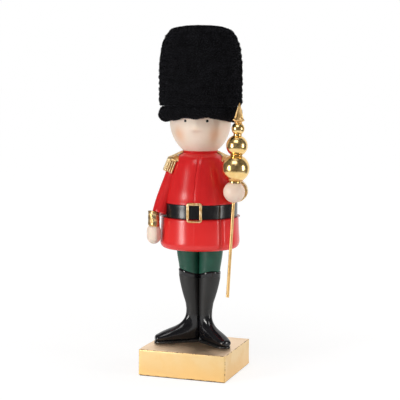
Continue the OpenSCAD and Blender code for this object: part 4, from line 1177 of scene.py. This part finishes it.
fringe_paint = trim_leaf("fringe_gold_leaf", 60.0, 0.0, 0.02, 0.4, 0.48)
cord_nodes = fringe_tree()
holder_turns = np.linspace(-fringe_spread / 2 - holder_past, fringe_spread / 2 + holder_past, 41)
holder = []
for out, up in holder_rows:
    r = fringe_ring + out
    holder += [(r * math.cos(a), r * math.sin(a), up) for a in holder_turns]
rows, wide = len(holder_rows), len(holder_turns)
holder_faces = []
for k in range(rows):
    row, after = k * wide, (k + 1) % rows * wide
    holder_faces += [(row + i, row + i + 1, after + i + 1, after + i) for i in range(wide - 1)]
holder_faces.append(tuple(k * wide for k in range(rows)))
holder_faces.append(tuple(k * wide + wide - 1 for k in reversed(range(rows))))
for side, word in ((1, "left"), (-1, "right")):
    blank = bpy.data.meshes.new("fringe_blank")
    mesh = grown(f"fringe_{word}_cords", blank, cord_nodes, {"Paint": fringe_paint})
    cords = bmesh.new()
    cords.from_mesh(mesh)
    bmesh.ops.translate(cords, verts=cords.verts, vec=(0, 0, cord_lift * MM))
    holder_verts = [cords.verts.new(np.array(p) * MM) for p in holder]
    for face in holder_faces:
        cords.faces.new([holder_verts[i] for i in face])
    spots = on_shoulder(np.array([v.co for v in cords.verts]) / MM, word, side) * MM
    for vert, place in zip(cords.verts, spots):
        vert.co = place
    bmesh.ops.remove_doubles(cords, verts=cords.verts, dist=1e-7)
    cords.normal_update()
    bmesh.ops.recalc_face_normals(cords, faces=cords.faces)
    cords.to_mesh(mesh)
    cords.free()
    mesh.shade_smooth()
    mesh.set_sharp_from_angle(angle=math.radians(50))
    mesh.materials.clear()
    mesh.materials.append(fringe_paint)
    mesh.polygons.foreach_set("material_index", [0] * len(mesh.polygons))
    set_piece(f"fringe_{word}_cords", mesh, "figure", [f"fringe_{word}"])

# Head
# A smooth egg in pale flesh tint, cut flat at the neck. It has a plain doll's face: two shallow sockets, a
# soft wedge of a nose that starts under the hat, no mouth, and a warm blush on each cheek.
head_r, head_v = 39.6, 47.0
head_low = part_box("head")[0].z / MM
head_mid = head_low + head_v * math.sqrt(1 - (neck_r / head_r) ** 2)
eye_turn = math.asin(14.5 / head_r)
low_angle = math.degrees(math.asin((head_low - head_mid) / head_v))
head_angles = np.radians(np.linspace(low_angle + 1.0, 86, 70))
head_rows = [(0, head_low + 0.1), (19.5, head_low + 0.1)]
head_rows += [(head_r * math.cos(a), head_mid + head_v * math.sin(a)) for a in head_angles]
head_rows += [(0, head_mid + head_v)]
cheek_at, blush_at = math.radians(36) * head_r, math.radians(37) * head_r
blush_values = []


def head_change(radius, height, around):
    along = around * head_r
    eye_s = eye_turn * head_r
    level = height - head_mid
    sockets = 0
    for side in (-1, 1):
        sockets = sockets - 1.55 * bell(along - side * eye_s, 5.4) * bell(level + 0.6, 4.6)
        sockets = sockets - 0.5 * bell(along - side * (eye_s - 4.5), 4.5) * bell(level + 6, 6.0)
    brow = 0.75 * bell(np.abs(along) - eye_s, 9.0) * bell(level - 6, 3.0)
    nose_out = 0.9 + 3.5 * step_up(-level, -9, 9.5) * (1 - step_up(-level, 10.5, 18))
    nose_wide = 4.4 + 2.4 * step_up(-level, -6, 12)
    nose_long = step_up(level, -18.5, -10) * (1 - step_up(level, 6, 16))
    nose = nose_out * bell(along, nose_wide) * nose_long
    cheeks = 0.7 * bell(np.abs(along) - cheek_at, 10.0) * bell(level + 19, 9.0)
    chin = 0.5 * bell(along, 9.0) * bell(level + 31, 5.0) - 0.3 * bell(along, 12.0) * bell(level + 23, 3.0)
    cheek_blush = 0.62 * bell(np.abs(along) - blush_at, 8.5) * bell(level + 18, 9.5)
    nose_blush = 0.12 * bell(along, 6.0) * bell(level + 11, 6.0)
    blush_values.append(np.clip(cheek_blush + nose_blush, 0, 1))
    on_skin = step_up(radius, 18.0, 24.0)
    return radius + on_skin * (sockets + brow + nose + cheeks + chin), height


points, faces = lathe(head_rows, 256, head_change, steps=2)
head_blush = np.zeros(len(points))
head_blush[:blush_values[0].size] = blush_values[0].reshape(-1)
points, marks = placed(points, upper_turn), {"blush": head_blush}
piece("head_egg", points, faces, "figure", ["head"], flesh_paint, marks=marks)

# Eyes
# Two small black glass beads. Each has a pin at its back and is pushed with it into its socket in the face.
# They are very glossy, so that each shows a small white glint.
eye_black = (0.004, 0.004, 0.004)
eye_paint, tree, surface = paint_of("eye_bead", eye_black, 0.06, Coat_Weight=0.5, Coat_Roughness=0.02)
brush_on(tree, surface, 400.0, 0.04, 0.1, 0.01)
# Bead from its pin to its front: radius and reach
bead_rows = [
    (0, -4.0), (0.6, -4.0), (0.6, -1.4), (1.2, -1.15), (1.7, -0.65),
    (1.86, 0.0), (1.74, 0.6), (1.38, 1.08), (0.78, 1.4), (0, 1.5),
]
bead_sunk = 1.75
straight_up = np.array([0, 0, 1.0])
for side, word in ((1, "left"), (-1, "right")):
    bead, faces = lathe(bead_rows, 40, steps=3)
    turn = side * eye_turn
    forward = np.array([math.sin(turn), -math.cos(turn), 0.0])
    sideways = np.array([math.cos(turn), math.sin(turn), 0.0])
    seat = (head_r - bead_sunk) * forward + head_mid * straight_up
    bead = seat + bead[:, :1] * sideways + bead[:, 1:2] * straight_up + bead[:, 2:3] * forward
    points = placed(bead, upper_turn)
    piece(f"eye_{word}_bead", points, faces, "figure", [f"eye_{word}"], eye_paint)

# Hat former
# Rigid dark foam inside the plush, hollowed to sit on the head. It shows only when the hat is off. Its top is
# rounder than the stiff form, so that it stays under the worn corner of the plush.
former_black, foam_deep, foam_pale = (0.03, 0.03, 0.032), (0.022, 0.022, 0.024), (0.05, 0.05, 0.052)
former_paint, tree, surface = paint_of("former_foam", former_black, 0.85)
cells = node(tree, "ShaderNodeTexVoronoi", {"Vector": object_spot(tree), "Scale": 900.0})
feed(tree, surface, "Base Color", mix(tree, cells.outputs["Distance"], foam_deep, foam_pale))
bump(tree, surface, cells.outputs["Distance"], 0.3)
former_r = (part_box("hat_core")[1].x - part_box("hat_core")[0].x) / MM / 2
former_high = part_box("hat_core")[1].z / MM
corner_high, corner_wide = 22.2, 12.58
# The hollow for the head lies inside this radius and keeps its shape
hollow_r = 31


def corner_rise(height):
    return np.clip((height - former_high + corner_high) / corner_high, 0, 1)


def narrow_share(height):
    t = corner_rise(height)
    return 1 - 0.12 * t**2 - 0.22 * t**8


def former_edge(height):
    t = corner_rise(height)
    return (former_r - corner_wide + corner_wide * np.sqrt(1 - t * t)) * narrow_share(height)


stiff = frame["nodes"]["hat_core"]
mesh = stiff.data.copy()
mesh.name = "hat_former_foam"
mesh.transform(stiff.matrix_world)
for vert in mesh.vertices:
    x, y, z = vert.co.x / MM - figure_axis[0], vert.co.y / MM - figure_axis[1], vert.co.z / MM
    if math.hypot(x, y) > hollow_r:
        share = float(narrow_share(z))
        vert.co.x = (x * share + figure_axis[0]) * MM
        vert.co.y = (y * share + figure_axis[1]) * MM
foam = bmesh.new()
foam.from_mesh(mesh)
bmesh.ops.remove_doubles(foam, verts=foam.verts, dist=1e-7)
foam.to_mesh(mesh)
foam.free()
mesh.shade_smooth()
mesh.set_sharp_from_angle(angle=math.radians(38))
mesh.materials.clear()
mesh.materials.append(former_paint)
set_piece("hat_former_foam", mesh, "hat", ["hat_core"])

# Plush crown
# A tall sleeve of short dense black plush with a domed top, glued over the former. The pile lies in small
# soft lumps, and tufts of it stand out all round.
plush_sheen = {
    "Specular_IOR_Level": 0.12, "Sheen_Weight": 0.17, "Sheen_Roughness": 0.4,
    "Sheen_Tint": (0.52, 0.52, 0.64, 1),
}
plush_black, pile_deep, pile_pale = (0.003, 0.003, 0.004), (0.0014, 0.0014, 0.002), (0.005, 0.005, 0.0065)
plush_paint, tree, surface = paint_of("black_plush", plush_black, 0.85, **plush_sheen)
spot = object_spot(tree)
nap = node(tree, "ShaderNodeTexNoise", {"Vector": spot, "Scale": 1500.0, "Detail": 4.0}).outputs["Fac"]
lie = node(tree, "ShaderNodeTexNoise", {"Vector": spot, "Scale": 110.0, "Detail": 3.0}).outputs["Fac"]
tone = ramp(tree, maths(tree, "MULTIPLY_ADD", nap, 0.4, lie), 0.4, 1.0)
feed(tree, surface, "Base Color", mix(tree, tone, pile_deep, pile_pale))
bump(tree, surface, nap, 0.5)

rim_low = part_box("hat_rim")[0].z / MM
crown_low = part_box("hat_crown")[0].z / MM
tuft_len, tuft_r, tufts_per_area = 1.7, 0.5, 820000.0
lump_rows_apart = 7.4
glue_gap = 0.15
over_former = 0.2
crown_r = 52.35
# Radius and height of the sleeve's lower edge, over its foot, and of its worn corner and domed top
crown_foot = [(48.0, 0.4), (50.4, 0.5), (52.1, 2.0), (52.4, 5.5)]
crown_corner = [
    (52.1, 392), (51.7, 400), (51.0, 408), (49.9, 415.5), (48.0, 423), (45.4, 429.3), (42.4, 434.5),
    (38.8, 438.6), (34.0, 441.1), (28.0, 442.9), (20.0, 444.1), (10.0, 444.6), (0.6, 444.7),
]
former_levels = former_high - np.array([0.05, 0.6, 2, 4.5, 8, 13, 19, 26, 40])
crown_rows = [(former_r + glue_gap, crown_low + 2.0)] + [(r, crown_low + up) for r, up in crown_foot]
crown_rows += [(crown_r, z) for z in np.linspace(crown_low + 12, 384, 8)] + crown_corner
crown_rows += [(0.6, former_high + over_former), (19.0, former_high + over_former)]
crown_rows += [(former_edge(z) + glue_gap, z) for z in former_levels]
crown_rows += [(former_r + glue_gap, crown_low + 30)]


def brow(points, base, top, rise):
    turn = np.arctan2(points[:, 0], -points[:, 1])
    front = np.clip(np.cos(turn), 0, 1) ** 1.5
    along = turn * 50.0
    scallop = 1.3 * bell(np.abs(along) - 17, 7) - 1.2 * bell(along, 5) - 0.8 * bell(np.abs(along) - 33, 7)
    scallop = scallop + 1.1 * bell(along - 32, 12) - 0.7 * bell(along + 28, 12)
    low_share = 1 - step_up(points[:, 2], base, top)
    fade = 1 - step_up(points[:, 2], top, top + 30)
    raised = points.copy()
    raised[:, 2] += front * rise * (0.55 + 0.45 * low_share) * fade + scallop * low_share
    return raised


def lumpy(points, tall, wide):
    moved = points.copy()
    for k, p in enumerate(points):
        flat = math.hypot(p[0], p[1])
        if flat < 1e-6:
            continue
        turn = math.atan2(p[1], p[0])
        stray = 1.3 * math.sin(turn * 3) + 0.9 * noise.noise(Vector((turn * 2, 0, p[2] * 0.03)))
        row = 0.5 + 0.5 * math.sin(p[2] * 2 * math.pi / lump_rows_apart + stray)
        patch = noise.noise(Vector((p[0], p[1], p[2])) * 0.14)
        lift = tall * (row - 0.5) + wide * patch
        moved[k, 0] += p[0] / flat * lift
        moved[k, 1] += p[1] / flat * lift
        moved[k, 2] += 0.35 * wide * noise.noise(Vector((p[0], p[1], p[2] + 40)) * 0.1)
    return moved


def pile_tree():
    sizes = {"Tufts per area": tufts_per_area, "Tuft length": tuft_len * MM, "Tuft thickness": tuft_r * MM}
    tree, given = new_growth("standing_pile", sizes, {"Seed": 7})
    furry = node(tree, "GeometryNodeInputNamedAttribute", {"Name": "pile"}, data_type="FLOAT").outputs[0]
    here = node(tree, "FunctionNodeCompare", {0: furry, 1: 0.5}, data_type="FLOAT", operation="GREATER_THAN")
    strewn = {"Mesh": given["Geometry"], "Selection": here.outputs[0],
              "Density": given["Tufts per area"], "Seed": given["Seed"]}
    dots = node(tree, "GeometryNodeDistributePointsOnFaces", strewn)
    tuft = {"Vertices": 3, "Radius Top": 0.0,
            "Radius Bottom": given["Tuft thickness"], "Depth": given["Tuft length"]}
    cone = node(tree, "GeometryNodeMeshCone", tuft)
    seed_two = maths(tree, "ADD", given["Seed"], 11.0)
    tilt = chance(tree, "FLOAT_VECTOR", (-0.55, -0.55, 0.0), (0.55, 0.55, 6.28), seed_two)
    size = chance(tree, "FLOAT", 0.6, 1.15, seed_two)
    turned = node(tree, "FunctionNodeRotateEuler", {"Rotation": dots.outputs["Rotation"]}, space="LOCAL")
    tree.links.new(tilt, turned.inputs["Rotate By"])
    standing = {"Points": dots.outputs["Points"], "Instance": cone.outputs["Mesh"],
                "Rotation": turned.outputs[0], "Scale": size}
    stood = node(tree, "GeometryNodeInstanceOnPoints", standing)
    both = node(tree, "GeometryNodeJoinGeometry")
    tree.links.new(given["Geometry"], both.inputs[0])
    tree.links.new(stood.outputs[0], both.inputs[0])
    paint_growth(tree, both.outputs[0], given["Paint"])
    return tree


def plush_form(name, outline, sides, steps, tall, wide, keep, seed, replaced, lift):
    points, faces = lathe(outline, sides, steps=steps)
    keep_now = keep(np.hypot(points[:, 0], points[:, 1]), points[:, 2])
    points = lift(np.where(keep_now[:, None] > 0, lumpy(points, tall, wide), points))
    mesh = bpy.data.meshes.new(name)
    mesh.from_pydata((placed(points, upper_turn) * MM).tolist(), [], faces)
    mesh.attributes.new("pile", "FLOAT", "POINT").data.foreach_set("value", keep_now.astype(np.float32))
    form = bmesh.new()
    form.from_mesh(mesh)
    if form.calc_volume(signed=True) < 0:
        bmesh.ops.reverse_faces(form, faces=form.faces)
    form.to_mesh(mesh)
    form.free()
    mesh.shade_smooth()
    full = grown(name, mesh, pile_nodes, {"Paint": plush_paint, "Seed": seed})
    full.shade_smooth()
    full.set_sharp_from_angle(angle=math.radians(60))
    set_piece(name, full, "hat", replaced)


def crown_pile(r, z):
    return ((r > former_edge(z) + 0.7) | (z > former_high + 0.5)) & (z > crown_low + 0.6)


def crown_brow(points):
    return brow(points, crown_low - 40, crown_low - 20, brow_rise)


brow_rise = 6.0
pile_nodes = pile_tree()
plush_form("plush_crown", crown_rows, 220, 2, 1.25, 1.1, crown_pile, 7, ["hat_crown"], crown_brow)

# Plush rim
# A roll of the same plush round the hat's lower edge, turned in under the former, with a deep groove above
# it. Its lower edge is uneven, and hangs lowest between the eyes.
rim_outside = [
    (40.4, 1.5), (41.8, 0.4), (45.0, -0.3), (48.6, 0.4), (51.3, 2.8), (52.7, 6.4),
    (52.9, 10.0), (52.1, 13.4), (50.4, 16.0), (48.2, 17.2),
]
rim_rows = [(r, rim_low + up) for r, up in rim_outside]
rim_rows += [(former_r + glue_gap, rim_low + up) for up in (17.0, 9.0, 2.4)] + [(42.5, rim_low + 2.05)]


def rim_pile(r, z):
    return ((r > former_r + 0.6) | (z < rim_low + 1.3)) & (r > 40.8)


def rim_brow(points):
    return brow(points, rim_low + 2, rim_low + 14, brow_rise)


plush_form("plush_rim", rim_rows, 200, 3, 0.35, 1.3, rim_pile, 19, ["hat_rim"], rim_brow)

# Mace
# Turned brass in mirror-polished gold plate: a thin rod, a loose collar that rests on the fist, three balls
# parted by necks, and a fluted, pointed finial.
mace_gold, mirror_deep, mirror_pale = (0.92, 0.64, 0.27), (0.90, 0.61, 0.24), (0.94, 0.68, 0.31)
mace_paint, tree, surface = paint_of("mirror_gold", mace_gold, 0.14, 1.0)
coat_of = place_group(tree, glaze, {"Ripple size": 120.0})
breath = {"Vector": object_spot(tree), "Scale": 500.0, "Detail": 4.0, "Roughness": 0.7}
smear = node(tree, "ShaderNodeTexNoise", breath).outputs["Fac"]
feed(tree, surface, "Base Color", mix(tree, coat_of["Tone"], mirror_deep, mirror_pale))
feed(tree, surface, "Roughness", ramp(tree, smear, 0.35, 0.75, 0.2, 0.28))
bump(tree, surface, coat_of["Height"], 0.08)
# The rod and the finial are duller
satin_deep, satin_pale = (0.86, 0.54, 0.21), (0.93, 0.63, 0.29)
satin_gold, tree, surface = paint_of("satin_gold", mace_gold, 0.3, 1.0)
tone = brush_on(tree, surface, 160.0, 0.36, 0.44, 0.02)
feed(tree, surface, "Base Color", mix(tree, tone, satin_deep, satin_pale))
# Sizes along the mace, from the middle of the fist up: the balls are cut where the necks seat in them
collar_s, collar_t, collar_r, collar_play = 11.555, 2.2, 7.6, 0.08
large_r, medium_r, small_r = 17.6, 13.5, 8.2
neck_cut, upper_neck_r = 7.448, 5.3
upper_cut = upper_neck_r * 0.98
large_s = collar_s + collar_t + collar_play + math.sqrt(large_r**2 - neck_cut**2)
lower_neck_s = large_s + math.sqrt(large_r**2 - neck_cut**2)
lower_neck_t = collar_r * 0.15
medium_s = lower_neck_s + lower_neck_t + math.sqrt(medium_r**2 - neck_cut**2)
upper_neck_s = medium_s + math.sqrt(medium_r**2 - upper_cut**2)
upper_neck_t = upper_neck_r * 0.47
small_s = upper_neck_s + upper_neck_t + math.sqrt(small_r**2 - upper_cut**2)
finial_r, finial_h, flute_count, flute_depth_share = 7.8, 25.6, 8, 0.16
finial_cut = finial_r * 0.59
finial_s = small_s + math.sqrt(small_r**2 - finial_cut**2)
rod_r, rod_below = 2.0, 132.7


def ball_rows(radius, middle, low_cut, high_cut):
    low = math.asin(low_cut / radius)
    high = math.asin(high_cut / radius)
    round_angles = np.linspace(low - math.pi / 2, math.pi / 2 - high, 44)
    rows = [(0, middle - math.sqrt(radius**2 - low_cut**2))]
    rows += [(radius * math.cos(a), middle + radius * math.sin(a)) for a in round_angles]
    return rows + [(0, middle + math.sqrt(radius**2 - high_cut**2))]


def disc_rows(radius, low, thick):
    edge = [(radius - 0.5, 0), (radius - 0.1, 0.18), (radius, 0.5), (radius - 0.1, 0.82), (radius - 0.5, 1)]
    return [(0, low)] + [(r, low + thick * share) for r, share in edge] + [(0, low + thick)]


def mace_piece(name, rows, body, replaced, sides=128, change=None, steps=2, paint=mace_paint):
    points, faces = lathe(rows, sides, change, steps=steps)
    piece(name, on_mace(points), faces, body, replaced, paint, sharp=60)


loose_collar_rows = [
    (bore_r, collar_s + 0.1), (collar_r - 0.6, collar_s), (collar_r - 0.1, collar_s + 0.4),
    (collar_r, collar_s + 1.1), (collar_r - 0.1, collar_s + 1.8), (collar_r - 0.6, collar_s + 2.2),
    (bore_r, collar_s + 2.1),
]
mace_piece("mace_collar_ring", loose_collar_rows, "collar_ring", ["mace_collar"])
rod_rows = [
    (0, -rod_below - 0.05), (1.2, -rod_below), (1.8, -rod_below + 0.5), (rod_r, -rod_below + 1.4),
    (rod_r - 0.05, -90), (rod_r, -45), (rod_r - 0.03, 0), (rod_r, 40), (rod_r, finial_s + 4),
    (1.4, finial_s + 7.5), (0, finial_s + 7.6),
]
mace_piece("mace_rod_turned", rod_rows, "mace", ["mace_rod"], 48, paint=satin_gold)
balls_and_necks = {
    "ball_large": ball_rows(large_r, large_s, neck_cut, neck_cut),
    "neck_lower": disc_rows(collar_r, lower_neck_s, lower_neck_t),
    "ball_medium": ball_rows(medium_r, medium_s, neck_cut, upper_cut),
    "neck_upper": disc_rows(upper_neck_r, upper_neck_s, upper_neck_t),
    "ball_small": ball_rows(small_r, small_s, upper_cut, finial_cut),
}
for word, rows in balls_and_necks.items():
    steps = 1 if word.startswith("ball") else 2
    mace_piece(f"mace_{word}_turned", rows, "mace", [f"mace_{word}"], steps=steps)
# Finial from its foot over its bulb to its point: shares of its radius and of its height
finial_shares = [
    (0.59, 0.0), (0.57, 0.06), (0.74, 0.095), (0.93, 0.13), (1.0, 0.17), (0.93, 0.2), (0.8, 0.235),
    (0.74, 0.29), (0.66, 0.38), (0.55, 0.5), (0.37, 0.69), (0.2, 0.86), (0.05, 0.98),
]
finial_rows = [(0, finial_s)] + [(finial_r * a, finial_s + finial_h * b) for a, b in finial_shares]
finial_rows += [(0, finial_s + finial_h)]


def flutes(radius, height, around):
    share = step_up(height, finial_s + 2.0, finial_s + 4.0)
    share = share * (1 - step_up(height, finial_s + 20, finial_s + 25))
    return radius * (1 - flute_depth_share * share * np.abs(np.sin(around * flute_count / 2))), height


mace_piece("mace_finial_fluted", finial_rows, "mace", ["mace_finial"], 128, flutes, 3, satin_gold)
